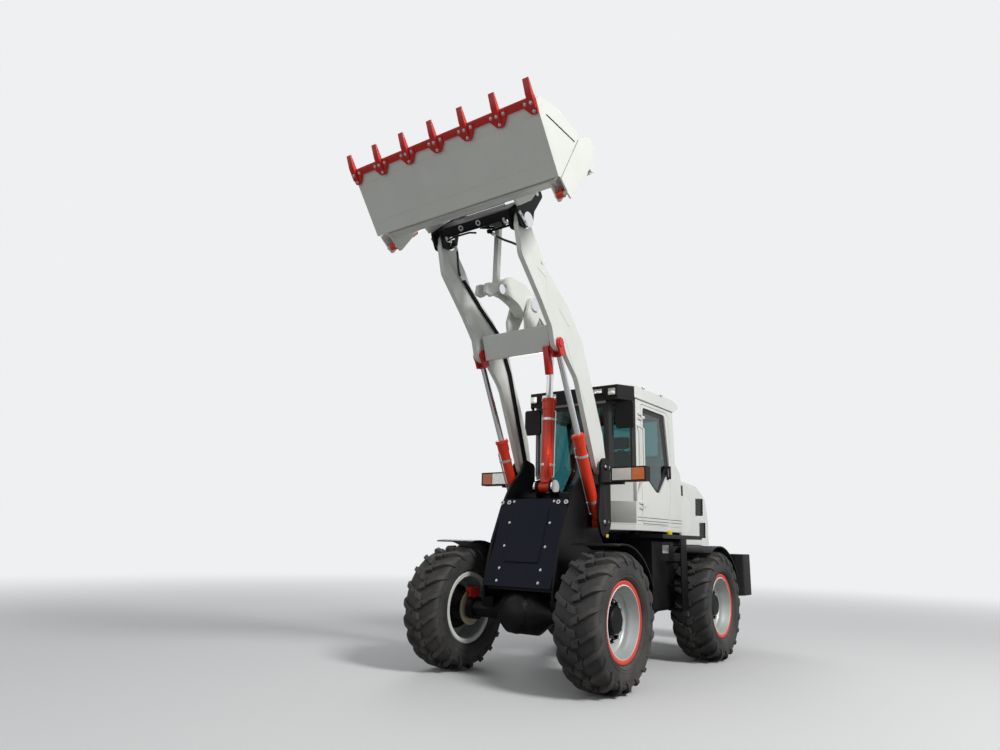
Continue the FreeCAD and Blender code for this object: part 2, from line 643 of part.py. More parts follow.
def cylinder(p, q, x, gland, stroke, r, rod_r, half, eye, bore, tip_half):
    # a hydraulic cylinder from its foot p to its rod's eye q; gland is the barrel's length,
    # and the rod still clears the barrel's bottom when it is drawn in by its stroke
    start = toward(p, q, eye * 0.8)
    head = toward(p, q, gland)
    inner = toward(p, q, eye * 1.6)
    last = toward(q, p, eye * 0.8)

    def at(point):
        return (x, point[0], point[1])

    foot = bar_x(p, x - half, x + half, eye).cut(bar_x(p, x - half - 5, x + half + 5, bore))
    barrel = fuse([rod(at(start), at(head), r), foot,
                   rod(at(toward(p, q, gland - 60)), at(head), r + 5)])
    barrel = barrel.cut(rod(at(inner), at(toward(p, q, gland + 5)), rod_r + 0.05))
    barrel = barrel.cut(bar_x(p, x - half - 5, x + half + 5, bore))
    top = bar_x(q, x - tip_half, x + tip_half, eye)
    shaft = fuse([rod(at(toward(p, q, eye * 1.6 + 5 + stroke)), at(last), rod_r), top])
    return barrel, shaft


def stepped_pin(point, steps):
    # round steps (from, to, radius) outwards from the middle plane, the same on both sides
    return [end for low, high, r in steps for end in both(bar_x(point, low, high, r))]


def turned(point, centre, degrees):
    a = math.radians(degrees)
    y, z = point[0] - centre[0], point[1] - centre[1]
    return (centre[0] + y * math.cos(a) - z * math.sin(a),
            centre[1] + y * math.sin(a) + z * math.cos(a))


LIFT_CLOSED = math.dist(LIFT_FOOT, turned(LIFT_EYE, BOOM_PIVOT, BOOM_DROP))
LIFT_STROKE = math.dist(LIFT_FOOT, LIFT_EYE) - LIFT_CLOSED
YOKE_IN = 124
LIFT_GLAND = LIFT_CLOSED - YOKE_IN - 6


def lift_cylinders():
    barrels, rods = [], []
    for side in (1, -1):
        barrel, shaft = cylinder(LIFT_FOOT, LIFT_EYE, side * ARM_X, LIFT_GLAND, LIFT_STROKE, 50,
                                 30, 42, 52, PIN_R + 0.05, 42)
        # the rod's end is a fork over the arm
        slot = bar_x(LIFT_EYE, side * ARM_X - 27, side * ARM_X + 27, 62)
        fork = bar_x(LIFT_EYE, side * ARM_X - 50, side * ARM_X + 50, 56)
        neck = toward(LIFT_EYE, LIFT_FOOT, YOKE_IN - 20)
        yoke = rod((side * ARM_X, *toward(LIFT_EYE, LIFT_FOOT, YOKE_IN)), (side * ARM_X, *neck), 44)
        cheeks = []
        for end in (-50, 28):
            x0 = side * ARM_X + end
            a, b = toward(LIFT_EYE, LIFT_FOOT, YOKE_IN - 6), LIFT_EYE
            length = math.dist(a, b)
            n = ((b[1] - a[1]) / length * 48, -(b[0] - a[0]) / length * 48)
            cheeks.append(plate([(a[0] + n[0], a[1] + n[1]), (b[0] + n[0], b[1] + n[1]),
                                 (b[0] - n[0], b[1] - n[1]), (a[0] - n[0], a[1] - n[1])],
                                "x", x0, x0 + 22))
        cut = shaft.cut(bar_x(LIFT_EYE, side * ARM_X - 60, side * ARM_X + 60, YOKE_IN - 8))
        heads = [bar_x(LIFT_EYE, side * ARM_X + end, side * ARM_X + end + 12, 38)
                 for end in (-60, 48)]
        shaft = fuse([cut, yoke, fork.cut(slot)] + cheeks + heads)
        barrels.append(barrel)
        rods.append(shaft)
    save("lift_barrels", barrels)
    save("lift_rods", rods)


# Coupler and bucket

def coupler():
    side_plate = [(-60, -60, 50), (-20, -140, 40), (148, -112, 20), (181, 142, 40), (206, 384, 20),
                  (134, 384, 30), (40, 150, 60), (-60, 60, 50)]
    parts = []
    for side in (1, -1):
        for x in COUPLER_EARS:
            x0, x1 = sorted((side * x, side * (x + EAR_T)))
            parts.append(tool_plate(side_plate, x0, x1))
        x0, x1 = sorted((side * 40, side * 62))
        parts.append(tool_plate([(130, 60), (130, 330, 20), (30, 362, 45), (-25, 310, 45),
                                 (40, 60)], x0, x1))
        x0, x1 = sorted((side * 60, side * 72))
        parts.append(bar_x(LINK_EYE, x0, x1, 38))
        x0, x1 = sorted((side * 400, side * 500))
        parts.append(tool_plate([(146, 20), (160, 20), (180, 146), (168, 146)], x0, x1))
    parts.append(tool_plate([(60, -120, 20), (150, -104, 20), (182, 150, 10), (100, 160, 10),
                             (70, 60, 20)], -395, 395))
    return fuse(parts).cut(bar_x(BOOM_TIP, -600, 600, PIN_R + 0.05))


def back_blade():
    x = BUCKET_HALF - 82
    face = tool_plate([(FLOOR_REAR_U - 2, FLOOR_V + 12), (FLOOR_REAR_U + 14, FLOOR_V + 12),
                       (532, 372), (516, 372)], -x, x)
    stiff = tool_plate([(262, -200), (276, -200), (450, 230), (372, 230), (212, -130)], -x, x)
    hollow = tool_plate([(250, -160), (262, -160), (418, 214), (384, 214), (232, -130)],
                        -x + 20, x - 20)
    end = [(68, -138, 30), (263, -204, 10), (514, 326, 8), (521, 453, 10), (509, 547, 20),
           (413, 582, 30), (290, 505, 30)]
    parts = [face, stiff.cut(hollow)]
    for side in (1, -1):
        for low, high in ((BUCKET_HALF - PLATE, BUCKET_HALF), (BUCKET_HALF - 128, BUCKET_HALF - 112)):
            x0, x1 = sorted((side * low, side * high))
            parts.append(tool_plate(end, x0, x1))
        x0, x1 = sorted((side * (BUCKET_HALF - 128), side * BUCKET_HALF))
        parts.append(bar_x(tool(*CLAM_PIVOT), x0, x1, SMALL_PIN_R))
        parts.append(bar_x(tool(*CLAM_CYL_FOOT), x0, x1, 20))
        x0, x1 = sorted((side * 514, side * 538))
        parts.append(tool_plate([(150, -112, 20), (240, -150), (400, 180), (360, 300, 40),
                                 (215, 340, 20), (150, 120, 40)], x0, x1))
    return parts


def clam():
    x = BUCKET_HALF
    gap = 5
    floor = tool_plate([(FLOOR_REAR_U + 2, FLOOR_V - 10), (EDGE_U - 60, FLOOR_V - 10),
                        (EDGE_U - 60, FLOOR_V + 6), (FLOOR_REAR_U + 2, FLOOR_V + 6)], -x, x)
    side_view = [(FLOOR_REAR_U + 2, FLOOR_V - 8), (EDGE_U - 40, FLOOR_V - 8), (940, -150, 60),
                 (800, 110, 300), (525 + gap, 371, 20), (521 + gap, 326),
                 (268 + gap, -206)]
    parts = [floor]
    arm = [(300, 500, 40), (420, 500, 50), (640, 240, 60), (560, 120, 20), (480, 200, 60),
           (300, 420, 40), (215, 430, 30), (190, 510, 30), (240, 530, 30)]
    for side in (1, -1):
        x0, x1 = sorted((side * (x - PLATE), side * x))
        parts.append(tool_plate(side_view, x0, x1))
        x0, x1 = sorted((side * (x - PLATE - 24), side * (x - PLATE - 6)))
        parts.append(tool_plate(arm, x0, x1))
        x0, x1 = sorted((side * (x - PLATE - 14), side * (x - PLATE + 1)))
        parts.append(tool_plate([(560, 240), (640, 240), (600, 150)], x0, x1))
    whole = fuse(parts)
    whole = whole.cut(bar_x(tool(*CLAM_PIVOT), -x - 10, x + 10, SMALL_PIN_R + 0.05))
    return whole


def teeth():
    x = BUCKET_HALF + 8
    parts = [tool_plate([(EDGE_U - 150, FLOOR_V - 28), (EDGE_U - 10, FLOOR_V - 28),
                         (EDGE_U, FLOOR_V - 16), (EDGE_U - 40, FLOOR_V - 10.3),
                         (EDGE_U - 150, FLOOR_V - 10.3)], -x, x)]
    step = (2 * x - 70) / (TOOTH_COUNT - 1)
    for i in range(TOOTH_COUNT):
        c = -x + 35 + i * step
        parts.append(tool_plate([(EDGE_U - 150, FLOOR_V - 52), (EDGE_U + 20, FLOOR_V - 52, 10),
                                 (TOOTH_TIP_U, TOOTH_TOP_V), (TOOTH_TIP_U, TOOTH_TOP_V + 12),
                                 (EDGE_U - 10, FLOOR_V - 8), (EDGE_U - 40, FLOOR_V - 27),
                                 (EDGE_U - 150, FLOOR_V - 27)], c - 30, c + 30))
    return parts


CLAM_CLOSED = math.dist(CLAM_CYL_FOOT, turned(CLAM_CYL_EYE, CLAM_PIVOT, CLAM_OPEN))
CLAM_STROKE = math.dist(CLAM_CYL_FOOT, CLAM_CYL_EYE) - CLAM_CLOSED


def clam_cylinders():
    barrels, rods = [], []
    for side in (1, -1):
        x = side * (BUCKET_HALF - 76)
        barrel, shaft = cylinder(tool(*CLAM_CYL_FOOT), tool(*CLAM_CYL_EYE), x, 400, CLAM_STROKE,
                                 28, 16, 30, 34, 20.05, 20)
        barrels.append(barrel)
        rods.append(shaft)
    save("clam_barrels", barrels)
    save("clam_rods", rods)


# Cab

def cab_ring(z0, z1, inset=0):
    # the cab's plan, full or moved in by inset, under its leaning rear line
    h, c = CAB_HALF - inset, CAB_CORNER_X - inset * 0.4
    points = [(-h, CAB_REAR - inset, 30), (-h, CAB_CORNER_Y + inset * 0.5, 60),
              (-c, CAB_FRONT + inset, 50), (c, CAB_FRONT + inset, 50),
              (h, CAB_CORNER_Y + inset * 0.5, 60), (h, CAB_REAR - inset, 30)]
    # the sloping deck behind the seat, lowered inside by as much as keeps the wall's thickness
    drop = inset * 0.48
    low, high = CAB_WAIST_Z - 8 - drop, CAB_WAIST_Z + 143 - drop
    profile = [(CAB_FRONT - 10, z0), (CAB_REAR + 10 - inset, z0), (CAB_REAR + 10 - inset, low),
               (CAB_REAR_TOP + 35 - inset, high), (CAB_REAR_TOP - inset, z1 + 1),
               (CAB_FRONT - 10, z1 + 1)]
    return plate(points, "z", z0, z1).common(plate(profile, "x", -h - 1, h + 1))


def above_floor(points):
    # (y, height over the cab's floor, corner radius) as a drawn outline
    return [(y, CAB_FLOOR_Z + rise, r) for y, rise, r in points]


DOOR = above_floor([(30, 78, 40), (30, 1338, 40), (735, 1338, 60), (815, 718, 60), (700, 78, 60)])
DOORWAY = above_floor([(24, 72, 40), (24, 1344, 40), (741, 1344, 60), (821, 718, 60), (706, 72, 60)])
DOOR_WINDOW = above_floor([(75, 590, 60), (75, 1308, 40), (655, 1308, 50), (765, 700, 70),
                           (480, 416, 60), (385, 416, 50)])
WINDOW_LOW = CAB_FLOOR_Z + 338
WINDOW_TOP = CAB_FLOOR_Z + 1328
CORNER_WINDOW_LOW = CAB_FLOOR_Z + 588
REAR_WINDOW_LOW = CAB_FLOOR_Z + 840
CAB_REAR_HALF = CAB_HALF - 150

DOOR_PIN = (CAB_HALF + 14, 20)
DOOR_PIN_R = 6
HOOD_PIN = (CAB_REAR + 28, HOOD_TOP_Z + 18)
HOOD_PIN_R = 8


def door_hinges():
    # ears with a pin on the cab, and a knuckle between them on the door
    ears, knuckles = [], []
    x, y = DOOR_PIN
    for z in (CAB_FLOOR_Z + 258, CAB_FLOOR_Z + 1198):
        for low in (z - 35, z + 15):
            ears += [box(CAB_HALF, x + 1, -50, y, low, low + 20), rod((x, y, low), (x, y, low + 20), 12)]
        ears.append(rod((x, y, z - 38), (x, y, z + 38), DOOR_PIN_R))
        knuckle = fuse([rod((x, y, z - 13), (x, y, z + 13), 12),
                        box(x - 10, x + 1, y, y + 30, z - 13, z + 13),
                        box(CAB_HALF - 1, x + 1, y + 12, y + 80, z - 13, z + 13)])
        knuckles.append(knuckle.cut(rod((x, y, z - 20), (x, y, z + 20), DOOR_PIN_R + 0.05)))
    return ears, knuckles


def hood_hinges():
    ears, knuckles = [], []
    y, z = HOOD_PIN
    for x in (-300, 300):
        for low in (x - 45, x + 33):
            ears.append(box(low, low + 12, CAB_REAR - 1, y + 14, z - 13, z + 13))
        ears.append(bar_x(HOOD_PIN, x - 45, x + 45, HOOD_PIN_R))
        knuckle = bar_x(HOOD_PIN, x - 28, x + 28, 15)
        knuckle = knuckle.fuse(box(x - 28, x + 28, y, y + 60, HOOD_TOP_Z - 25, z + 12))
        knuckles.append(knuckle.cut(bar_x(HOOD_PIN, x - 50, x + 50, HOOD_PIN_R + 0.05)))
    return ears, knuckles


def corner_slab(d0, d1):
    # a slab in the slanted corner of the cab, from d0 to d1 inwards of its face
    run = (CAB_HALF - CAB_CORNER_X, CAB_CORNER_Y - CAB_FRONT)
    length = math.hypot(*run)
    a = (run[0] / length, run[1] / length)
    points = [(CAB_CORNER_X + a[0] * t - a[1] * d, CAB_FRONT + a[1] * t + a[0] * d)
              for t, d in ((32, d1), (length - 38, d1), (length - 38, d0), (32, d0))]
    return plate(points, "z", CORNER_WINDOW_LOW, WINDOW_TOP)


def grab_rail():
    # bent handrail beside the door, let into the front corner
    wall, out = CAB_HALF - 20, CAB_HALF + 60
    stops = [(wall, -75, 1108), (out, -40, 1053), (out, -40, 548), (wall, -90, 338)]
    stops = [(x, y, CAB_FLOOR_Z + rise) for x, y, rise in stops]
    return [rod(p, q, RAIL_R) for p, q in zip(stops, stops[1:])] + [
        Part.makeSphere(RAIL_R, V(*p)) for p in stops[1:3]]


def roof():
    plan = [(-CAB_HALF - 5, CAB_REAR - 10, 60), (-CAB_HALF - 5, -150, 80),
            (-CAB_HALF + 90, CAB_FRONT - 60, 80), (CAB_HALF - 90, CAB_FRONT - 60, 80),
            (CAB_HALF + 5, -150, 80), (CAB_HALF + 5, CAB_REAR - 10, 60)]
    crown = [(CAB_FRONT - 70, CAB_EAVE_Z), (CAB_FRONT - 70, ROOF_Z - 44, 20), (-180, ROOF_Z - 14, 60),
             (CAB_REAR_TOP, ROOF_Z, 60), (CAB_REAR, ROOF_Z - 48), (CAB_REAR, ROOF_Z - 60),
             (CAB_REAR_TOP + 10, CAB_EAVE_Z)]
    return plate(plan, "z", CAB_EAVE_Z, ROOF_Z).common(plate(crown, "x", -CAB_HALF - 10, CAB_HALF + 10))


def visor():
    # dark band round the roof's front, with a wide and a narrow lamp in each half
    low, high = CAB_EAVE_Z - 45, ROOF_Z - 30
    front, side = CAB_FRONT - 60, CAB_HALF + 5
    points = [(-side - 14, -150), (-CAB_HALF + 84, front - 14), (CAB_HALF - 84, front - 14),
              (side + 14, -150), (side + 1, -150), (CAB_HALF - 90, front), (-CAB_HALF + 90, front),
              (-side - 1, -150)]
    parts = [plate(points, "z", low, high)]
    for x0, x1, z0, z1 in ((CAB_HALF - 185, CAB_HALF - 95, low + 42, high - 38),
                           (CAB_HALF - 440, CAB_HALF - 250, low + 70, high - 34)):
        parts += sides((x0, x1, front - 36, front - 13, z0, z1))
    return parts


def cab():
    shell = cab_ring(CAB_FLOOR_Z, CAB_EAVE_Z).cut(
        cab_ring(CAB_FLOOR_Z + 60, CAB_EAVE_Z, WALL))
    floor_part = box(-900, 900, -500, 1500, CAB_FLOOR_Z, CAB_FLOOR_Z + 60)
    save("cab_floor", [shell.common(floor_part)])
    walls = shell.cut(floor_part)
    # the rear wall starts behind a line that follows the leaning rear post
    sill, waist = CAB_FLOOR_Z + 60, CAB_WAIST_Z + 38
    line = [(CAB_REAR - 120, sill), (CAB_REAR - 120, waist), (CAB_REAR_TOP - 55, waist + 120),
            (CAB_REAR_TOP - 55, CAB_EAVE_Z)]
    rear_zone = plate(line + [(1500, CAB_EAVE_Z), (1500, sill)], "x", -900, 900)
    left_zone = plate(line + [(-10, CAB_EAVE_Z), (-10, sill)], "x", 0, 900)
    # front: windscreen and two corner windows above the lower panel
    front = walls.common(box(-900, 900, -500, -10, sill, CAB_EAVE_Z))
    pane = CAB_CORNER_X - 30
    front = front.cut(box(-pane, pane, CAB_FRONT - 100, CAB_FRONT + 120, WINDOW_LOW, WINDOW_TOP))
    for slab in both(corner_slab(-60, 90)):
        front = front.cut(slab)
    save("cab_front", [front] + door_hinges()[0] + grab_rail())
    rear = walls.common(rear_zone)
    glass_y = CAB_REAR_TOP - WALL / 2 - GLASS_T / 2
    rear = rear.cut(box(-CAB_REAR_HALF, CAB_REAR_HALF, glass_y - 80, glass_y + 80,
                        REAR_WINDOW_LOW, WINDOW_TOP))
    save("cab_rear", [rear] + hood_hinges()[0])
    left = walls.common(left_zone)
    save("cab_left", [left.cut(plate(DOORWAY, "x", 300, 900))])
    save("cab_right", [mirrored(left).cut(plate(DOOR_WINDOW, "x", -900, -300))])
    panel = plate(DOOR, "x", CAB_HALF - WALL, CAB_HALF)
    save("door", [panel.cut(plate(DOOR_WINDOW, "x", 300, 900))] + door_hinges()[1])
    x0 = CAB_HALF - WALL / 2 - GLASS_T / 2
    save("door_glass", [plate(DOOR_WINDOW, "x", x0, x0 + GLASS_T)])
    glass = [plate(DOOR_WINDOW, "x", -x0 - GLASS_T, -x0),
             box(-pane, pane, CAB_FRONT + 16, CAB_FRONT + 16 + GLASS_T, WINDOW_LOW, WINDOW_TOP),
             box(-CAB_REAR_HALF, CAB_REAR_HALF, glass_y, glass_y + GLASS_T, REAR_WINDOW_LOW, WINDOW_TOP)]
    Part.makeCompound(glass + both(corner_slab(18, 18 + GLASS_T))).exportStep("parts/cab_glass.step")
    save("cab_roof", [roof()])
    save("visor", visor())


def seat():
    z = CAB_FLOOR_Z + 60
    back = CAB_REAR_TOP - WALL - 30
    save("seat_base", [box(-190, 190, back - 380, back - 31, z, z + 330),
                       box(-40, 40, back - 31, back, z, z + 900)])
    cushion = box(-245, 245, back - 460, back - 32, z + 330.3, z + 450)
    rest = box(-235, 235, back - 101, back - 31.3, z + 451, z + 1050)
    Part.makeCompound([cushion, rest]).exportStep("parts/seat.step")
    column = rod((0, 60, z + 12), (0, 190, z + 640), 40).fuse(box(-70, 70, 0, 130, z, z + 20))
    wheel = Part.makeTorus(190, 14, V(0, 205, z + 680), V(0, 0.25, 1))
    hub = rod((0, 188, z + 630), (0, 205, z + 690), 30)
    spokes = [rod((-185, 205, z + 680), (185, 205, z + 680), 10)]
    save("steering_column", [column, wheel, hub] + spokes)


def mirrors():
    # heads on arms that hang from the roof, inside the turning tower's reach
    x = CAB_HALF - 55
    parts = both(rod((x, -240, CAB_EAVE_Z - 160), (x, -240, CAB_EAVE_Z), 10))
    for head in sides((CAB_HALF - 155, CAB_HALF + 50, -258, -228, CAB_EAVE_Z - 340, CAB_EAVE_Z - 55)):
        parts.append(head.makeFillet(28, [e for e in head.Edges
                                          if abs(e.tangentAt(e.FirstParameter).y) > 0.9]))
    return parts


# the hood's side vents, as (y, height over the hood's lower edge)
VENTS = [[(1730, 560, 12), (2055, 577, 12), (2035, 362, 12), (1710, 348, 12)],
         [(1870, 269, 12), (2140, 278, 12), (2118, 86, 12), (1850, 82, 12)]]


def hood_side(inset):
    low, top, front, rear = HOOD_LOW_Z, HOOD_TOP_Z - inset, HOOD_FRONT, HOOD_REAR - inset
    if inset:
        low, front = low - 5, front - 5
    return plate([(front, low), (front, top, 40), (1750, top - 20, 300), (2150 - inset, top - 150, 200),
                  (rear - 60, HOOD_LOW_Z + 365, 200), (rear, low, 20 if not inset else 0)],
                 "x", -HOOD_FRONT_HALF, HOOD_FRONT_HALF)


def hood_plan(inset):
    # the hood narrows towards the rear
    front, rear, end = HOOD_FRONT_HALF - inset, HOOD_REAR_HALF - inset, HOOD_REAR + 1 - inset
    points = [(-front, HOOD_FRONT - 10), (front, HOOD_FRONT - 10), (rear, end, 60), (-rear, end, 60)]
    return plate(points, "z", HOOD_LOW_Z - 20, HOOD_TOP_Z + 40)


def hood_body(inset):
    return hood_side(inset).common(hood_plan(inset))


def hood():
    shell = hood_body(0).cut(hood_body(HOOD_T))
    # vents and a rear grille sunk into the skin, with slats across them
    sunk = hood_body(0).cut(hood_body(VENT_DEPTH))
    slat_zone = hood_body(3).cut(hood_body(VENT_DEPTH + 2))
    slats = []
    for vent in VENTS:
        drawn = [(y, HOOD_LOW_Z + rise, r) for y, rise, r in vent]
        shell = shell.cut(sunk.common(plate(drawn, "x", -700, 700)))
        ys, zs = [p[0] for p in drawn], [p[1] for p in drawn]
        for i in range(1, 6):
            z = min(zs) + (max(zs) - min(zs)) * i / 6
            slats.append(slat_zone.common(box(-700, 700, min(ys), max(ys), z - 5, z + 5)))
    low, high, half = HOOD_LOW_Z + 70, HOOD_LOW_Z + 330, 320
    y0, y1 = HOOD_REAR - 150, HOOD_REAR + 10
    shell = shell.cut(sunk.common(box(-half, half, y0, y1, low, high)))
    for i in range(1, 8):
        z = low + (high - low) * i / 8
        slats.append(slat_zone.common(box(-half - 5, half + 5, y0, y1, z - 6, z + 6)))
    return [shell] + slats + hood_hinges()[1]


def rear_end():
    block = plate([(-850, REAR_END, 60), (-850, 2430, 120), (-500, WEIGHT_FRONT, 60),
                   (500, WEIGHT_FRONT, 60), (850, 2430, 120), (850, REAR_END, 60)],
                  "z", 620, 1130)
    # tow pin through a slot in the middle of the weight
    block = block.cut(box(-90, 90, REAR_END - 140, REAR_END + 10, 780, 880))
    block = block.cut(rod((0, REAR_END - 60, 700), (0, REAR_END - 60, 1140), TOW_R))
    save("counterweight", [block])
    save("engine", [box(-300, 300, ENGINE_FRONT, ENGINE_REAR, ENGINE_Z, ENGINE_TOP)])
    deck = []
    steps_end = AXLE_Y - TYRE_R - WHEEL_GAP - 30
    for side in (1, -1):
        x0, x1 = sorted((side * DECK_IN, side * DECK_HALF))
        deck.append(box(x0, x1, -60, DECK_REAR, DECK_Z - DECK_T, DECK_Z))
        x0, x1 = sorted((side * TANK_OUT, side * 880))
        for i in range(3):
            z = TANK_LOW + 240 * i
            deck.append(box(x0, x1, steps_end - 160, steps_end, z, z + 20))
        x0, x1 = sorted((side * 870, side * 882))
        deck.append(box(x0, x1, steps_end - 160, steps_end, TANK_LOW, DECK_Z - DECK_T + 1))
    save("deck", deck)
    tanks = []
    for piece in sides((396, TANK_OUT, 30, AXLE_Y - TYRE_R - WHEEL_GAP, TANK_LOW, DECK_Z - DECK_T)):
        tanks.append(piece.makeFillet(40, [e for e in piece.Edges
                                            if abs(e.tangentAt(e.FirstParameter).y) > 0.9]))
    save("tanks", tanks)
    fenders = []
    for side in (1, -1):
        x0, x1 = sorted((side * 600, side * 1020))
        r = TYRE_R + 45
        shell = rod((x0, AXLE_Y, AXLE_Z), (x1, AXLE_Y, AXLE_Z), r + 12)
        shell = shell.cut(rod((x0 - 1, AXLE_Y, AXLE_Z), (x1 + 1, AXLE_Y, AXLE_Z), r))
        fenders.append(shell.common(box(x0, x1, AXLE_Y - 300, AXLE_Y + 640, AXLE_Z + 300, AXLE_Z + 700)))
        x0, x1 = sorted((side * 396, side * 610))
        fenders.append(box(x0, x1, AXLE_Y - 60, AXLE_Y + 60, AXLE_Z + r, AXLE_Z + r + 12))
    save("rear_fenders", fenders)


def lamps():
    # a housing with a framed lens on a bracket, each side of the tower
    parts = []
    for side in (1, -1):
        x0, x1 = sorted((side * LAMP_IN, side * (LAMP_IN + LAMP_W)))
        y0, y1, z0, z1 = LAMP_Y, LAMP_Y + 105, LAMP_Z, LAMP_Z + LAMP_H
        housing = box(x0, x1, y0, y1, z0, z1)
        housing = housing.cut(box(x0 + 8, x1 - 8, y0 - 1, y0 + 14, z0 + 8, z1 - 8))
        parts += [housing, box(x0 + 12, x1 - 12, y0 + 4, y0 + 15, z0 + 12, z1 - 12)]
        x0, x1 = sorted((side * (TOWER_OUT_X + TOWER_OUT_T), side * (LAMP_IN + 110)))
        parts.append(box(x0, x1, y0 + 30, y0 + 90, z0 - 22, z0 + 1))
    return parts


def main():
    os.makedirs("parts", exist_ok=True)
    wheels()
    save("front_axle", [axle(-AXLE_Y, 1)])
    save("rear_axle", [axle(AXLE_Y, -1)])
    save("front_frame", [front_frame()])
    save("rear_frame", [rear_frame()])
    steering_cylinders()
    save("cover_plate", cover_plate())
    save("front_fenders", front_fenders())
    save("boom", [boom()])
    save("boom_pipes", boom_pipes())
    hoses()
    save("crank", [crank()])
    out = BRACKET_X + BRACKET_T + PIN_GAP
    save("crank_pin", stepped_pin(CRANK_PIVOT, [(0, out + 18, PIN_R), (BRACKET_X, out, CRANK_HUB_R),
                                                (out, out + 18, 70)]))
    save("link", [bushed_bar(LINK_FOOT, LINK_EYE, 26, 56, 48, SMALL_PIN_R + 0.05)])
    out = CRANK_HALF + PIN_GAP
    save("link_pin", stepped_pin(LINK_FOOT, [(0, out + 14, SMALL_PIN_R), (out, out + 14, 47)]))
    out = TILT_LUG_X + TILT_LUG_T + PIN_GAP
    save("tilt_foot_pin", stepped_pin(TILT_FOOT, [(0, out + 18, SMALL_PIN_R),
                                                  (TILT_LUG_X, out, TILT_HUB_R), (out, out + 18, 68)]))
    barrel, shaft = cylinder(TILT_FOOT, TILT_EYE, 0, 910, TILT_STROKE, 60, 35, 64, 52,
                             SMALL_PIN_R + 0.05, 29)
    save("tilt_barrel", [barrel])
    save("tilt_rod", [shaft])
    lift_cylinders()
    ear_in, ear_out = COUPLER_EARS
    save("tip_pins", stepped_pin(BOOM_TIP, [
        (TIP_CAP_IN, ear_out + EAR_T + 10, PIN_R), (TIP_CAP_IN, ear_in - PIN_GAP, 52),
        (ear_in + EAR_T + PIN_GAP, ear_out - PIN_GAP, TIP_HUB_R),
        (ear_out + EAR_T + PIN_GAP, ear_out + EAR_T + 10, 72)]))
    save("coupler", [coupler()])
    save("back_blade", back_blade())
    save("clam", [clam()])
    save("teeth", teeth())
    clam_cylinders()
    cab()
    seat()
    save("mirrors", mirrors())
    save("hood", hood())
    rear_end()
    save("headlamps", lamps())


main()
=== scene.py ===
# %% [markdown]
# This notebook dresses an articulated wheel loader whose solid parts come from a fixed frame.
# The frame already holds every plate, pin and tube at its real place, so each cell below only
# adds what the eye looks for: paint, tread, seams, glass, lamps and bolts. Everything is in
# metres, +X is the machine's left, the bucket points to -Y and the ground is at z = 0.

# %% Load the frame
import json
import math

import bmesh
import bpy
from mathutils import Matrix, Vector


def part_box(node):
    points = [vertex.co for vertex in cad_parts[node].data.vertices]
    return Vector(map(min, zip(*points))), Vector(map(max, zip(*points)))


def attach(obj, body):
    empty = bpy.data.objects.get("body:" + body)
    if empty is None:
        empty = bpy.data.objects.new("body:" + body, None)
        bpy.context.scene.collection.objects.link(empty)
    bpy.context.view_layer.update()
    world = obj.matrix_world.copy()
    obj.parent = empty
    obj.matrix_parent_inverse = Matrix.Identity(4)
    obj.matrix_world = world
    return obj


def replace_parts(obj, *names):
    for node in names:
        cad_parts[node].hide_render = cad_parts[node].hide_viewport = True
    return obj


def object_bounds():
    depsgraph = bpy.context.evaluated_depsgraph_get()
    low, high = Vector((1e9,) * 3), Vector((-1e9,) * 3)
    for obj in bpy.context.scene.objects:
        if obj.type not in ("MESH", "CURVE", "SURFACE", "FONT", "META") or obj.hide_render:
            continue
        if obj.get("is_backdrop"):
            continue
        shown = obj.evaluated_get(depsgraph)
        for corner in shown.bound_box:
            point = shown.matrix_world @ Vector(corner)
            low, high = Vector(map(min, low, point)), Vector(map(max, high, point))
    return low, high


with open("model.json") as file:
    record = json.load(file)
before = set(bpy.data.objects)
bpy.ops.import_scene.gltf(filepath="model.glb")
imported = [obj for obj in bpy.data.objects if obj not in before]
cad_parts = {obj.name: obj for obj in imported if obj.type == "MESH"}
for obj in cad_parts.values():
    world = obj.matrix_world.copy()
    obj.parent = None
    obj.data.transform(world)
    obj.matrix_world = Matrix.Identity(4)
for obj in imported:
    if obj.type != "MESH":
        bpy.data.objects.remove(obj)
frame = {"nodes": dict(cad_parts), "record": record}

NODES = frame["nodes"]
BODY_OF = {node: body for body, names in frame["record"]["behaviour"]["bodies"].items()
           for node in names}
SLOT_OF = {row["node"]: row["material_slot"] for row in frame["record"]["subparts"]}
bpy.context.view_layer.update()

# %% [markdown]
# The camera stands low, close to the front left wheel, and looks up at the raised bucket.
# A wide lens does the rest: the bucket stays in the picture and the boom seems to lean away.
# A camera could be aimed with a Track To constraint, but a matrix built from its azimuth,
# pitch and roll says exactly how it stands, and it keeps working when the script is rerun.

# %% Camera
CAMERA_AT = Vector((3.829, -6.823, 1.231))
AZIMUTH, PITCH, ROLL = math.radians(36.657), math.radians(13.312), math.radians(1.437)
PICTURE_WIDTH, FOCAL_PIXELS, SENSOR = 1000, 698.165, 36.0


def camera_axes():
    right = Vector((math.cos(AZIMUTH), math.sin(AZIMUTH), 0))
    ahead = Vector((-math.sin(AZIMUTH) * math.cos(PITCH), math.cos(AZIMUTH) * math.cos(PITCH),
                    math.sin(PITCH)))
    up = right.cross(ahead)
    return (math.cos(ROLL) * right + math.sin(ROLL) * up,
            math.cos(ROLL) * up - math.sin(ROLL) * right, -ahead)


camera = bpy.data.objects.new("camera", bpy.data.cameras.new("camera"))
bpy.context.scene.collection.objects.link(camera)
camera.data.sensor_width = SENSOR
camera.data.lens = FOCAL_PIXELS / PICTURE_WIDTH * SENSOR
camera.data.clip_end = 200
camera.matrix_world = Matrix.Translation(CAMERA_AT) @ Matrix(camera_axes()).transposed().to_4x4()
bpy.context.scene.camera = camera
print("lens", round(camera.data.lens, 2), "mm")

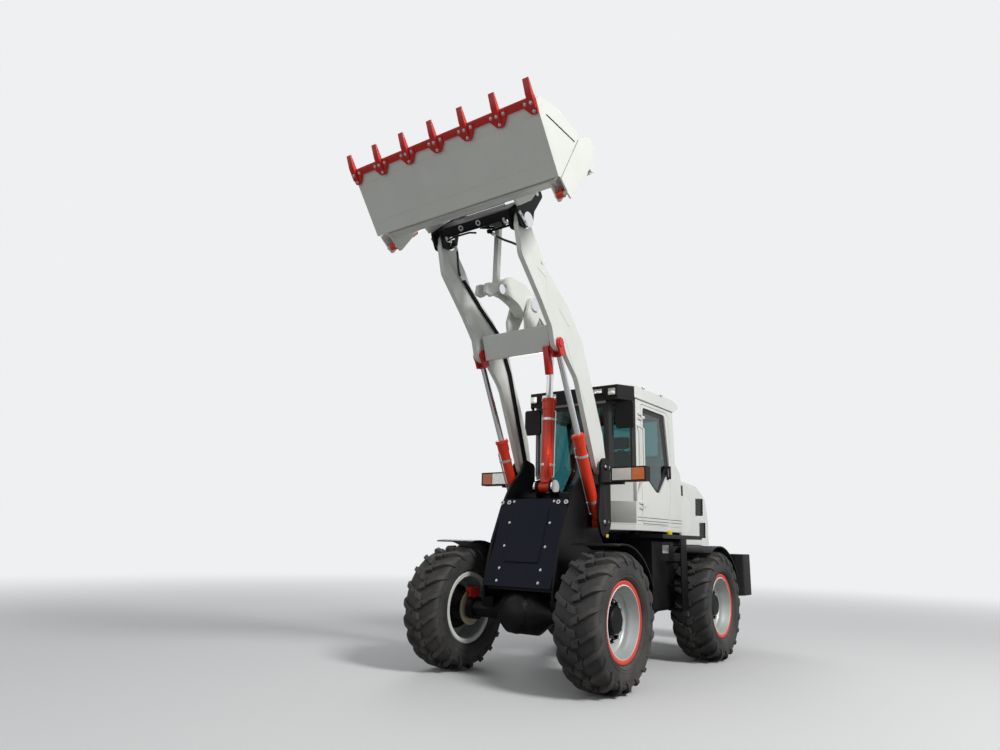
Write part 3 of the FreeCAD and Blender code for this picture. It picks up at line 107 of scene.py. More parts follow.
# %% [markdown]
# Paint on a working machine is never one flat colour: sprayed enamel has a faint orange peel,
# its gloss changes a little from place to place, and dust settles low down. All the painted
# parts share this effect, so it is one node group with named inputs, and each paint gives it
# its own values. The group reads Object coordinates, so neighbouring plates match.

# %% Node helpers
def add_node(tree, kind, **inputs):
    node = tree.nodes.new("ShaderNode" + kind)
    for key, value in inputs.items():
        if key in node.inputs:
            node.inputs[key].default_value = value
        else:
            setattr(node, key, value)
    return node


def new_group(name, inputs, outputs):
    group = bpy.data.node_groups.new(name, "ShaderNodeTree")
    for label, kind in inputs:
        group.interface.new_socket(label, in_out="INPUT", socket_type="NodeSocket" + kind)
    for label, kind in outputs:
        group.interface.new_socket(label, in_out="OUTPUT", socket_type="NodeSocket" + kind)
    return group, group.nodes.new("NodeGroupInput"), group.nodes.new("NodeGroupOutput")


# %% [markdown]
# The group lays three noises over each other. A wide one makes slow patches, a fine one makes
# specks of dust, and the finest only lifts the surface a little as grain. Height above the
# ground thins the dust out, because wheels throw it up and rain washes it down. A painted
# texture could show the same, but noise needs no image and fits every plate.

# %% Weathered surface group
def weathered_group():
    group, ins, outs = new_group(
        "weathered",
        [("Colour", "Color"), ("Dust", "Color"), ("Dust amount", "Float"), ("Roughness", "Float"),
         ("Mottle", "Float"), ("Grain size", "Float"), ("Grain height", "Float")],
        [("Colour", "Color"), ("Roughness", "Float"), ("Normal", "Vector")])
    link = group.links.new
    place = add_node(group, "TexCoord")
    cloud = add_node(group, "TexNoise", Scale=2.6, Detail=6.0, Roughness=0.6)
    speck = add_node(group, "TexNoise", Scale=38.0, Detail=4.0, Roughness=0.7)
    grain = add_node(group, "TexNoise", Detail=2.0, Roughness=0.5)
    for texture in (cloud, speck, grain):
        link(place.outputs["Object"], texture.inputs["Vector"])
    link(ins.outputs["Grain size"], grain.inputs["Scale"])
    # dust lies thick near the ground and thins out above the wheels
    axes = add_node(group, "SeparateXYZ")
    link(place.outputs["Object"], axes.inputs[0])
    low = add_node(group, "MapRange")
    for index, value in ((1, 0.0), (2, 1.7), (3, 1.0), (4, 0.16)):
        low.inputs[index].default_value = value
    link(axes.outputs["Z"], low.inputs[0])
    patch = add_node(group, "MapRange")
    for index, value in ((1, 0.42), (2, 0.72), (3, 0.0), (4, 1.0)):
        patch.inputs[index].default_value = value
    link(cloud.outputs["Fac"], patch.inputs[0])
    fine = add_node(group, "Math", operation="MULTIPLY")
    link(patch.outputs[0], fine.inputs[0])
    link(speck.outputs["Fac"], fine.inputs[1])
    lain = add_node(group, "Math", operation="MULTIPLY")
    link(fine.outputs[0], lain.inputs[0])
    link(low.outputs[0], lain.inputs[1])
    dusty = add_node(group, "Math", operation="MULTIPLY", use_clamp=True)
    link(lain.outputs[0], dusty.inputs[0])
    link(ins.outputs["Dust amount"], dusty.inputs[1])
    # a faint lightening and darkening of the colour itself
    tone = add_node(group, "MapRange")
    for index, value in ((1, 0.3), (2, 0.7), (3, 1.0)):
        tone.inputs[index].default_value = value
    link(cloud.outputs["Fac"], tone.inputs[0])
    deep = add_node(group, "Math", operation="SUBTRACT")
    deep.inputs[0].default_value = 1.0
    link(ins.outputs["Mottle"], deep.inputs[1])
    link(deep.outputs[0], tone.inputs[4])
    shade = add_node(group, "VectorMath", operation="SCALE")
    link(ins.outputs["Colour"], shade.inputs[0])
    link(tone.outputs[0], shade.inputs["Scale"])
    mix = add_node(group, "MixRGB")
    link(dusty.outputs[0], mix.inputs["Fac"])
    link(shade.outputs[0], mix.inputs["Color1"])
    link(ins.outputs["Dust"], mix.inputs["Color2"])
    link(mix.outputs[0], outs.inputs["Colour"])
    rough = add_node(group, "Math", operation="MULTIPLY_ADD", use_clamp=True)
    link(dusty.outputs[0], rough.inputs[0])
    rough.inputs[1].default_value = 0.5
    gloss = add_node(group, "Math", operation="MULTIPLY_ADD")
    link(speck.outputs["Fac"], gloss.inputs[0])
    gloss.inputs[1].default_value = 0.12
    link(ins.outputs["Roughness"], gloss.inputs[2])
    link(gloss.outputs[0], rough.inputs[2])
    link(rough.outputs[0], outs.inputs["Roughness"])
    bump = add_node(group, "Bump", Strength=0.35)
    link(ins.outputs["Grain height"], bump.inputs["Distance"])
    link(grain.outputs["Fac"], bump.inputs["Height"])
    link(bump.outputs[0], outs.inputs["Normal"])
    return group


WEATHERED = weathered_group()
DUST = (0.30, 0.27, 0.22, 1)


def finish(name, colour, roughness, dust=0.5, mottle=0.06, grain=90.0, height=0.0006, **sockets):
    material = bpy.data.materials.new(name)
    material.use_nodes = True
    tree = material.node_tree
    shader = tree.nodes["Principled BSDF"]
    worn = tree.nodes.new("ShaderNodeGroup")
    worn.node_tree = WEATHERED
    values = {"Colour": (*colour, 1), "Dust": DUST, "Dust amount": dust, "Roughness": roughness,
              "Mottle": mottle, "Grain size": grain, "Grain height": height}
    for key, value in values.items():
        worn.inputs[key].default_value = value
    for source, socket in (("Colour", "Base Color"), ("Roughness", "Roughness"), ("Normal", "Normal")):
        tree.links.new(worn.outputs[source], shader.inputs[socket])
    for key, value in sockets.items():
        shader.inputs[key.replace("_", " ")].default_value = value
    material.diffuse_color = (*colour, 1)
    return material


# %% [markdown]
# These are the loader's finishes. Enamel gets a clear coat for its wet look, chassis black is
# a little duller, cast and machined steel is metallic, and rubber has no coat and a coarse
# grain. Colours are written as the surface's own colour, except where the seal black and the
# enamel black are laid as painted shade in grooves, slots and vents.

# %% Finishes
WHITE = finish("white_enamel", (0.76, 0.77, 0.72), 0.28, dust=0.35, mottle=0.05, Coat_Weight=0.3,
               Coat_Roughness=0.08)
GREY = finish("grey_enamel", (0.34, 0.34, 0.32), 0.34, dust=0.3, Coat_Weight=0.2)
BLACK = finish("black_enamel", (0.005, 0.005, 0.006), 0.36, dust=0.10, mottle=0.3,
               Specular_IOR_Level=0.16)
NAVY = finish("navy_enamel", (0.002, 0.004, 0.014), 0.28, dust=0.05, mottle=0.3,
              Specular_IOR_Level=0.14)
RED = finish("red_enamel", (0.62, 0.016, 0.010), 0.34, dust=0.3, mottle=0.12, Coat_Weight=0.15,
             Coat_Roughness=0.1, Specular_IOR_Level=0.4)
ORANGE = finish("orange_enamel", (0.80, 0.036, 0.004), 0.30, dust=0.15, mottle=0.1,
                Coat_Weight=0.2, Coat_Roughness=0.08, Specular_IOR_Level=0.4)
RIM_RED = finish("rim_red_enamel", (0.80, 0.040, 0.014), 0.30, dust=0.3, mottle=0.06, Coat_Weight=0.2)
SILVER = finish("rim_silver", (0.50, 0.53, 0.51), 0.30, dust=0.35, mottle=0.08, Metallic=0.35,
                Coat_Weight=0.3)
STEEL = finish("zinc_steel", (0.62, 0.62, 0.62), 0.30, dust=0.2, grain=260.0, Metallic=0.9)
CHROME = finish("hard_chrome", (0.82, 0.83, 0.85), 0.06, dust=0.05, mottle=0.03, grain=300.0,
                height=0.0001, Metallic=1.0)
DISC_STEEL = finish("brake_disc_steel", (0.42, 0.37, 0.26), 0.36, dust=0.4, Metallic=0.8)
RUBBER = finish("tyre_rubber", (0.030, 0.030, 0.031), 0.62, dust=0.75, mottle=0.35, grain=220.0,
                height=0.0012)
HOSE_RUBBER = finish("hose_rubber", (0.012, 0.012, 0.013), 0.42, dust=0.2, grain=300.0)
PLASTIC = finish("black_plastic", (0.010, 0.010, 0.011), 0.46, dust=0.15, mottle=0.2, grain=420.0,
                 height=0.0010, Specular_IOR_Level=0.20)
SEAT_CLOTH = finish("seat_cloth", (0.018, 0.018, 0.020), 0.85, dust=0.1, mottle=0.3, grain=900.0,
                    height=0.0012, Sheen_Weight=0.3)
# black of seals and printed borders, also laid as painted shade in the cab's grooves and the bucket's slots
SEAL_AND_SHADE_BLACK = finish("seal_and_painted_shade_black", (0.010, 0.010, 0.011), 0.5, dust=0.15)
AMBER = finish("amber_lens", (0.85, 0.22, 0.03), 0.14, dust=0.1, Coat_Weight=1.0)
RED_LENS = finish("red_lens", (0.45, 0.01, 0.01), 0.14, dust=0.1, Coat_Weight=1.0)
REFLECTOR = finish("lamp_reflector", (0.75, 0.74, 0.70), 0.10, dust=0.1, grain=120.0,
                   height=0.002, Metallic=0.9)
YELLOW = finish("yellow_grip", (0.80, 0.62, 0.02), 0.4, dust=0.3)
print(len(bpy.data.materials), "materials")

# %% [markdown]
# Cab glass is tinted green-blue and clear enough to see the seat. It keeps a plain Principled
# BSDF with full transmission, so nothing has to be mixed: the tint is the base colour, and the
# thin pane shows it twice, once on the way in and once on the way out.

# %% Glass
def pane(name, tint, roughness=0.02):
    material = bpy.data.materials.new(name)
    material.use_nodes = True
    shader = material.node_tree.nodes["Principled BSDF"]
    for key, value in (("Base Color", (*tint, 1)), ("Roughness", roughness), ("IOR", 1.45),
                       ("Transmission Weight", 1.0), ("Metallic", 0.0)):
        shader.inputs[key].default_value = value
    return material


TINTED = pane("cab_tinted_glass", (0.15, 0.36, 0.37))
CLEAR = pane("lamp_clear_glass", (0.90, 0.92, 0.92))

# %% [markdown]
# New pieces are made with bmesh. Five small helpers cover nearly all of them: a bar between
# two points, a block between two corners, a slab pulled from an outline, a profile spun about
# an axis, and a step that hands the finished mesh to the frame. Every piece keeps its place in
# its mesh, with its object at the origin, so patterns on Object coordinates never slide.

# %% Mesh helpers
def aim(p, q):
    p, q = Vector(p), Vector(q)
    turn = (q - p).to_track_quat("Z", "Y").to_matrix().to_4x4()
    return Matrix.Translation(p) @ turn, (q - p).length


def chamfer(bm, verts, width, segments=2, angle=30):
    verts = set(verts)
    edges = [e for e in bm.edges if e.verts[0] in verts and e.verts[1] in verts
             and len(e.link_faces) == 2 and e.calc_face_angle(0) > math.radians(angle)]
    bmesh.ops.bevel(bm, geom=edges, offset=width, segments=segments, profile=0.5,
                    affect="EDGES", material=-1, clamp_overlap=True)


def bar(bm, p, q, radius, segments=24, end=None, soft=0.0, tint=0):
    turn, length = aim(p, q)
    made = bmesh.ops.create_cone(bm, cap_ends=True, segments=segments, radius1=radius,
                                 radius2=radius if end is None else end, depth=length,
                                 matrix=turn @ Matrix.Translation((0, 0, length / 2)))
    for face in {f for v in made["verts"] for f in v.link_faces}:
        face.material_index = tint
    if soft:
        chamfer(bm, made["verts"], soft, angle=60)


def block(bm, low, high, soft=0.0, turn=None, tint=0, segments=2):
    # the corners are put in order first, because a negative size would turn the block inside out
    low, high = [Vector([*map(pick, low, high)]) for pick in (min, max)]
    size = Matrix.Diagonal((*(high - low), 1))
    matrix = (turn or Matrix()) @ Matrix.Translation((low + high) / 2) @ size
    made = bmesh.ops.create_cube(bm, size=1, matrix=matrix)
    for face in {f for v in made["verts"] for f in v.link_faces}:
        face.material_index = tint
    if soft:
        chamfer(bm, made["verts"], soft, segments)


def slab(bm, corners, pull, soft=0.0, tint=0, turn=0.0):
    # turn rounds the corners of the outline, soft then breaks every sharp edge
    base = bm.faces.new([bm.verts.new(c) for c in corners])
    base.material_index = tint
    made = bmesh.ops.extrude_face_region(bm, geom=[base])["geom"]
    top = [g for g in made if isinstance(g, bmesh.types.BMVert)]
    bmesh.ops.translate(bm, verts=top, vec=Vector(pull))
    verts = top + list(base.verts)
    faces = {f for v in verts for f in v.link_faces}
    for face in faces:
        face.material_index = tint
    bmesh.ops.recalc_face_normals(bm, faces=list(faces))
    if turn:
        along = Vector(pull).normalized()
        posts = [e for e in {e for v in verts for e in v.link_edges}
                 if abs((e.verts[0].co - e.verts[1].co).normalized().dot(along)) > 0.999]
        round_off = bmesh.ops.bevel(bm, geom=posts, offset=turn, segments=5, profile=0.5,
                                    affect="EDGES", material=-1, clamp_overlap=True)
        verts = [v for v in verts if v.is_valid] + round_off["verts"]
    if soft:
        chamfer(bm, verts, soft)


def spun(bm, profile, centre, axis=(1, 0, 0), steps=64, tints=()):
    # profile holds (along the axis, radius); a closed one ends where it starts
    centre, axis = Vector(centre), Vector(axis).normalized()
    side = axis.orthogonal().normalized()
    closed = profile[0] == profile[-1]
    verts = [bm.verts.new(centre + axis * a + side * r) for a, r in profile[:len(profile) - closed]]
    pairs = list(zip(verts, verts[1:] + (verts[:1] if closed else [])))
    edges = [bm.edges.new(pair) for pair in pairs]
    known = set(bm.faces)
    bmesh.ops.spin(bm, geom=verts + edges, cent=centre, axis=axis, angle=2 * math.pi,
                   steps=steps, use_merge=True)
    made = [f for f in bm.faces if f not in known]
    bmesh.ops.recalc_face_normals(bm, faces=made)
    for face in made:
        if tints:
            middle = face.calc_center_median() - centre
            radius = (middle - axis * middle.dot(axis)).length
            face.material_index = tints(middle.dot(axis), radius)
    return made


def bolt(bm, at, out, radius=0.010, tint=0):
    # a washer and a hexagon head that stand on a face
    at, out = Vector(at), Vector(out).normalized()
    bar(bm, at - out * 0.001, at + out * 0.002, radius * 1.4, 16, tint=tint)
    bar(bm, at + out * 0.002, at + out * (0.002 + 0.7 * radius), radius, 6, soft=0.001, tint=tint)


def border(bm, outer, inner, pull):
    # a flat ring between two outlines with equally many corners, then given its thickness
    loops = []
    for corners in (outer, inner):
        verts = [bm.verts.new(c) for c in corners]
        loops += [bm.edges.new(pair) for pair in zip(verts, verts[1:] + verts[:1])]
    faces = bmesh.ops.bridge_loops(bm, edges=loops)["faces"]
    made = bmesh.ops.extrude_face_region(bm, geom=faces)["geom"]
    top = [g for g in made if isinstance(g, bmesh.types.BMVert)]
    bmesh.ops.translate(bm, verts=top, vec=Vector(pull))
    bmesh.ops.recalc_face_normals(bm, faces=list({f for v in top for f in v.link_faces} | set(faces)))


def give(name, bm, body, *materials, slot=None, smooth=38, replaces=()):
    mesh = bpy.data.meshes.new(name)
    bm.to_mesh(mesh)
    bm.free()
    for material in materials:
        mesh.materials.append(material)
    mesh.shade_smooth()
    mesh.set_sharp_from_angle(angle=math.radians(smooth))
    piece = bpy.data.objects.new(name, mesh)
    bpy.context.scene.collection.objects.link(piece)
    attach(piece, body)
    if replaces:
        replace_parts(piece, *replaces)
    return piece


# %% [markdown]
# Real plates have slightly rounded edges, and that thin line of light along an edge is what
# makes a model read as steel. The frame's meshes must stay as they are, so a copy is merged
# into clean faces and gets a Bevel modifier, and the copy stands for the original.

# %% Softened plates
def round_edges(piece, width, angle=35):
    bevel = piece.modifiers.new("edge", "BEVEL")
    bevel.width = width
    bevel.segments = 2
    bevel.limit_method = "ANGLE"
    bevel.angle_limit = math.radians(angle)
    bevel.harden_normals = True
    bevel.use_clamp_overlap = True


def soften(node, material, width=0.003, angle=35):
    bm = bmesh.new()
    bm.from_mesh(NODES[node].data)
    bmesh.ops.remove_doubles(bm, verts=bm.verts, dist=1e-5)
    bmesh.ops.dissolve_limit(bm, angle_limit=math.radians(0.6), verts=bm.verts, edges=bm.edges)
    for face in bm.faces:
        face.material_index = 0
    piece = give(node + "_body", bm, BODY_OF[node], material, slot=SLOT_OF[node], replaces=[node])
    round_edges(piece, width, angle)


def coat(node, material):
    mesh = NODES[node].data
    mesh.materials.clear()
    mesh.materials.append(material)


SKIN_AREA = 0.09


def two_paints(node, materials, choose, width=0.0):
    # a copy of the node whose faces take a paint by where they lie, and the large skins the first
    bm = bmesh.new()
    bm.from_mesh(NODES[node].data)
    bmesh.ops.remove_doubles(bm, verts=bm.verts, dist=1e-5)
    bmesh.ops.dissolve_limit(bm, angle_limit=math.radians(0.6), verts=bm.verts, edges=bm.edges)
    for face in bm.faces:
        face.material_index = int(face.calc_area() < SKIN_AREA and choose(face.calc_center_median()))
    piece = give(node + "_body", bm, BODY_OF[node], *materials, slot=SLOT_OF[node], replaces=[node])
    if width:
        round_edges(piece, width)
    return piece


for node in "boom crank link back_blade clam door cab_front cab_left cab_right cab_rear".split():
    soften(node, WHITE)
soften("cab_roof", WHITE, 0.012)
soften("cab_floor", WHITE, 0.008)
for node in "coupler front_frame deck tanks counterweight rear_frame rear_fenders".split():
    soften(node, BLACK)
soften("front_fenders", BLACK, 0.004)
soften("cover_plate", NAVY, 0.004)
soften("mirrors", PLASTIC, 0.012)
soften("visor", PLASTIC, 0.004)
soften("headlamps", PLASTIC, 0.008)
for node in "boom_pipes steering_column seat_base engine".split():
    coat(node, BLACK)
for node in ("lift_barrels", "tilt_barrel", "clam_barrels", "steer_barrel_left", "steer_barrel_right"):
    coat(node, ORANGE)
for node in ("clam_rods", "steer_rod_left", "steer_rod_right", "crank_pin", "link_pin",
             "tilt_foot_pin", "tip_pins"):
    coat(node, CHROME)
for node in ("cab_glass", "door_glass"):
    coat(node, TINTED)
print("plates dressed")

# %% [markdown]
# Some castings carry two paints: the brake calipers on a black axle are red, and a chromed rod
# ends in a red fork. The small faces in the hood's sunk vents and rear grille, behind and on the
# slats, take black as painted shade for the shadow inside those openings. A copy of the node is
# enough for that, because each of its faces can choose a material by the place it lies in.

# %% Two paints on one part
LIFT_FOOT, LIFT_EYE = Vector((0, -0.614, 1.425)), Vector((0, -1.408, 3.054))
TILT_FOOT, TILT_EYE = Vector((0, -0.858, 1.762)), Vector((0, -0.775, 3.337))
ARM_X = 0.456
FORK_REACH = 0.160
VENTS = [((1.700, 1.820), (2.065, 1.575)), ((1.840, 1.520), (2.150, 1.310))]


def on_caliper(at):
    return 0.590 < abs(at.x) < 0.665 and 0.684 < at.z < 0.780


def in_fork(at):
    return (Vector((0, at.y, at.z)) - LIFT_EYE).length < FORK_REACH


def in_eye(at):
    return (Vector((0, at.y, at.z)) - TILT_EYE).length < 0.09


# small faces in the hood's sunk vents and rear grille take black as painted shade
def in_vent_shade(at):
    sides = any(y0 < at.y < y1 and z1 < at.z < z0 for (y0, z0), (y1, z1) in VENTS)
    grille = at.y > 2.20 and abs(at.x) < 0.322 and 1.300 < at.z < 1.570
    return grille or (sides and abs(at.x) > 0.45)


for node in ("front_axle", "rear_axle"):
    two_paints(node, (BLACK, RED), on_caliper)
two_paints("lift_rods", (CHROME, RED), in_fork)
two_paints("tilt_rod", (CHROME, RED), in_eye)
two_paints("hood", (WHITE, BLACK), in_vent_shade, 0.002)
print("two paints on", 5, "parts")

# %% [markdown]
# A field tyre is two things: a smooth carcass and tall lugs moulded onto it in a chevron.
# The carcass is one profile spun about the axle. A lug is a small grid, extruded to its height
# and then wrapped onto the carcass: t runs across the tread from its middle, s runs round it.
# One lug of each kind is repeated round the wheel by spin with duplicates, so all are alike.

# %% Tyres
TYRE_R, TYRE_HALF, BEAD_R = 0.585, 0.205, 0.336
LUG_H, LUGS, CROWN_R = 0.040, 20, 0.545
SHOULDER_T, SHOULDER_R = 0.160, 0.045
FIRST_LUG = math.radians(3) * TYRE_R


def tread(t, h):
    # the carcass's outer line from the middle of the tread out to the sidewall, raised by h
    flat = min(t, SHOULDER_T)
    r = CROWN_R - 0.010 * (flat / SHOULDER_T) ** 2
    over = t - SHOULDER_T
    if over <= 0:
        return flat, r + h
    bend = min(over / SHOULDER_R, math.radians(80))
    x = flat + (SHOULDER_R + h) * math.sin(bend)
    r = r - SHOULDER_R + (SHOULDER_R + h) * math.cos(bend)
    down = max(0.0, over - bend * SHOULDER_R)
    return x, r - down


def lug(bm, side, start, end, width, lift):
    made = bmesh.ops.create_grid(bm, x_segments=9, y_segments=2, size=0.5)
    verts = made["verts"]
    faces = list({f for v in verts for f in v.link_faces})
    for v in verts:
        v.co.z = -0.006
    raised = bmesh.ops.extrude_face_region(bm, geom=faces)["geom"]
    top = [g for g in raised if isinstance(g, bmesh.types.BMVert)]
    for v in top:
        v.co.z = 1.0
        v.co.y *= 0.80
        v.co.x *= 0.985
    known = verts + top
    rim = [e for e in bm.edges if e.verts[0] in set(top) and e.verts[1] in set(top)
           and any(f.verts and min(v.co.z for v in f.verts) < 0.5 for f in e.link_faces)]
    soft = bmesh.ops.bevel(bm, geom=rim, offset=0.05, segments=2, profile=0.5, affect="EDGES",
                           material=-1)
    known = list({v for v in known + soft["verts"] if v.is_valid})
    for v in known:
        t = start + (end - start) * (v.co.x + 0.5)
        swept = 0.42 * t + 1.15 * t * t + lift
        s = swept + v.co.y * width * (1.0 + 0.25 * (v.co.x + 0.5))
        fade = max(0.25, 1.0 - max(0.0, t - 0.15) / 0.09)
        x, r = tread(t, v.co.z * LUG_H * fade if v.co.z > 0 else v.co.z)
        a = s / TYRE_R
        v.co = Vector((side * x, -r * math.cos(a), r * math.sin(a)))
    bmesh.ops.recalc_face_normals(bm, faces=list({f for v in known for f in v.link_faces}))


def tyre_mesh():
    bm = bmesh.new()
    pitch = 2 * math.pi / LUGS
    for side in (1, -1):
        one = set(bm.verts)
        stagger = FIRST_LUG + (0.0 if side > 0 else pitch * TYRE_R / 2)
        lug(bm, side, -0.012, 0.052, 0.060, stagger)
        lug(bm, side, 0.064, 0.255, 0.050, stagger)
        new = [v for v in bm.verts if v not in one]
        geom = new + list({e for v in new for e in v.link_edges}) + list({f for v in new for f in v.link_faces})
        bmesh.ops.spin(bm, geom=geom, cent=(0, 0, 0), axis=(1, 0, 0), angle=2 * math.pi - pitch,
                       steps=LUGS - 1, use_duplicate=True)
    half = [(0.150, 0.306), (0.152, BEAD_R + 0.002), (0.168, 0.345), (0.186, 0.352), (0.193, 0.362),
            (0.197, 0.370), (0.2005, 0.385), (0.2045, 0.420), (0.2050, 0.445), (0.2035, 0.470),
            (0.1995, 0.490)]
    shoulder = [tread(SHOULDER_T + SHOULDER_R * math.radians(a), 0) for a in (74, 55, 36, 18, 0)]
    crown = [tread(t, 0) for t in (0.12, 0.08, 0.04)]
    right = half + shoulder + crown
    profile = right + [(0, CROWN_R)] + [(-x, r) for x, r in reversed(right)]
    spun(bm, profile + [profile[0]], (0, 0, 0), steps=120)
    # thin moulded rings on each wall
    for side in (1, -1):
        for r, x in ((0.372, 0.1985), (0.398, 0.2030), (0.482, 0.2010)):
            ring = [(x, r - 0.004), (x + 0.0025, r - 0.002), (x + 0.0025, r + 0.002), (x, r + 0.004),
                    (x, r - 0.004)]
            spun(bm, [(side * a, b) for a, b in ring], (0, 0, 0), steps=96)
    return bm


WHEELS = {}
for end, y in (("front", -1.191), ("rear", 1.191)):
    for side, name in ((1, "left"), (-1, "right")):
        low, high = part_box("tyre_%s_%s" % (end, name))
        WHEELS[end + "_" + name] = (side, (low + high) / 2)

for wheel, (side, centre) in WHEELS.items():
    bm = tyre_mesh()
    bmesh.ops.translate(bm, verts=bm.verts, vec=centre)
    piece = give("tyre_" + wheel + "_rubber", bm, "wheel_" + wheel, RUBBER, slot="tyre",
                 replaces=["tyre_" + wheel])
print("tyre faces", len(piece.data.polygons))

# %% [markdown]
# The rim is deep dished: its outer flange is red, a thin white line marks the lock ring, the
# barrel inside is silver, and the hub sits far back in black with a circle of nuts. All of it
# is round, so one closed profile is spun, and each face takes its paint from where it lies.

# %% Rims
NUTS, NUT_CIRCLE = 12, 0.158


def rim_paint(out, r):
    if out > 0.150 and r > 0.3035:
        return 1
    if out > 0.150 and r > 0.292:
        return 2
    return 2 if out < -0.150 else 0


def rim_mesh(side):
    bm = bmesh.new()
    profile = [(0.152, 0.304), (0.158, 0.330), (0.166, 0.340), (0.174, 0.338), (0.176, 0.330),
               (0.172, 0.308), (0.170, 0.3035), (0.172, 0.300), (0.172, 0.294), (0.165, 0.290),
               (0.110, 0.284), (0.100, 0.276), (0.060, 0.268), (0.045, 0.264), (0.034, 0.250),
               (0.030, 0.190), (0.018, 0.190), (0.018, 0.262), (0.020, 0.276), (-0.060, 0.282),
               (-0.150, 0.290), (-0.168, 0.296), (-0.174, 0.330), (-0.166, 0.338), (-0.154, 0.328),
               (-0.150, 0.304), (0.152, 0.304)]
    spun(bm, [(side * a, r) for a, r in profile], (0, 0, 0), steps=96,
         tints=lambda a, r: rim_paint(side * a, r))
    hub = [(0.010, 0.0), (0.010, 0.188), (0.030, 0.190), (0.046, 0.186), (0.048, 0.180),
           (0.050, 0.130), (0.060, 0.118), (0.098, 0.112), (0.108, 0.100), (0.110, 0.0)]
    spun(bm, [(side * a, r) for a, r in hub], (0, 0, 0), steps=72, tints=lambda a, r: 3)
    back = [(0.012, 0.0), (0.012, 0.205), (-0.020, 0.205), (-0.030, 0.150), (-0.150, 0.140),
            (-0.160, 0.0)]
    spun(bm, [(side * a, r) for a, r in back], (0, 0, 0), steps=48, tints=lambda a, r: 3)
    for i in range(NUTS):
        a = 2 * math.pi * i / NUTS
        y, z = NUT_CIRCLE * math.cos(a), NUT_CIRCLE * math.sin(a)
        bar(bm, (side * 0.046, y, z), (side * 0.054, y, z), 0.021, 20, tint=3)
        bar(bm, (side * 0.054, y, z), (side * 0.074, y, z), 0.0165, 6, soft=0.002, tint=3)
        bar(bm, (side * 0.074, y, z), (side * 0.084, y, z), 0.010, 16, end=0.008, tint=4)
    # brake disc behind the wheel
    disc = [(-0.182, 0.070), (-0.182, 0.164), (-0.190, 0.164), (-0.190, 0.070), (-0.182, 0.070)]
    spun(bm, [(side * a, r) for a, r in disc], (0, 0, 0), steps=72, tints=lambda a, r: 5)
    return bm


for wheel, (side, centre) in WHEELS.items():
    bm = rim_mesh(side)
    bmesh.ops.translate(bm, verts=bm.verts, vec=centre)
    give("rim_" + wheel + "_dish", bm, "wheel_" + wheel, SILVER, RIM_RED, WHITE, BLACK, STEEL,
         DISC_STEEL, slot="rim_paint", replaces=["rim_" + wheel])
print("rims", len(WHEELS))

# %% [markdown]
# Two hydraulic hoses lead from the steel lines on the arms to swivels at the bucket's pins. Each
# is stiff rubber of a set length, so it is one smooth curve through a few points: straight out
# of the fitting, then a slow bend. A NURBS spline of order 3 rounds the turns by itself.

# %% Hoses
HOSE_R = 0.011
# each hose's points from the arm's steel line to its swivel, and its length
HOSES = {
    "right": ([(-0.4197, -1.790, 3.760), (-0.4197, -1.833, 3.792), (-0.396, -1.893, 3.880),
               (-0.362, -1.937, 3.975), (-0.362, -1.9709, 4.0246)], 0.331),
    "left": ([(0.4197, -1.790, 3.760), (0.4197, -1.848, 3.803), (0.392, -1.908, 3.860),
              (0.318, -1.944, 3.912), (0.228, -1.950, 3.957), (0.156, -1.972, 4.001),
              (0.1114, -1.9876, 4.0368)], 0.500)}


def hose(name, points):
    line = bpy.data.curves.new(name, "CURVE")
    line.dimensions = "3D"
    line.bevel_depth = HOSE_R
    line.bevel_resolution = 6
    line.resolution_u = 16
    line.use_fill_caps = True
    spline = line.splines.new("NURBS")
    spline.points.add(len(points) - 1)
    for target, point in zip(spline.points, points):
        target.co = (*point, 1)
    spline.order_u = 3
    spline.use_endpoint_u = True
    line.materials.append(HOSE_RUBBER)
    piece = bpy.data.objects.new(name, line)
    bpy.context.scene.collection.objects.link(piece)
    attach(piece, "boom")
    return piece


for name, (points, length) in HOSES.items():
    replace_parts(hose("hose_" + name + "_rubber", points), "hose_" + name)
    bm = bmesh.new()
    for tip, ahead in ((points[0], points[1]), (points[-1], points[-2])):
        ahead = Vector(tip) + (Vector(ahead) - Vector(tip)).normalized() * 0.040
        back = Vector(tip) - (ahead - Vector(tip)) * 0.3
        bar(bm, back, ahead, 0.0138, 24, soft=0.001)
        bar(bm, back, Vector(tip).lerp(ahead, 0.18), 0.0165, 6, soft=0.001)
    give("hose_" + name + "_ferrules", bm, "boom", STEEL, slot="rod_chrome")
print("hoses", len(HOSES))

# %% [markdown]
# The cylinders are painted tubes with a bolted gland at the mouth and a thin steel line along
# the outside that feeds the far end. The gland ring is spun round the rod's own axis, and its
# bolts are set on the ring by a loop. The barrel's length is read from the frame's box.

# %% Cylinder glands and lines
def gland(bm, foot, eye, x, reach, r):
    shift = Vector((x, 0, 0))
    axis = (eye - foot).normalized()
    # it ends below the barrel's mouth, so the rod's fork can come right down to it
    ring = [(reach - 0.118, r), (reach - 0.118, r + 0.009), (reach - 0.034, r + 0.009),
            (reach - 0.034, r + 0.017), (reach - 0.012, r + 0.017), (reach - 0.009, r + 0.013),
            (reach - 0.009, r), (reach - 0.118, r)]
    spun(bm, ring, foot + shift, axis, 48)
    side = axis.orthogonal().normalized()
    for i in range(8):
        out = Matrix.Rotation(math.radians(22.5 + 45 * i), 3, axis) @ side
        seat = foot + shift + axis * (reach - 0.012) + out * (r + 0.011)
        bar(bm, seat, seat + axis * 0.009, 0.0065, 6, soft=0.001)


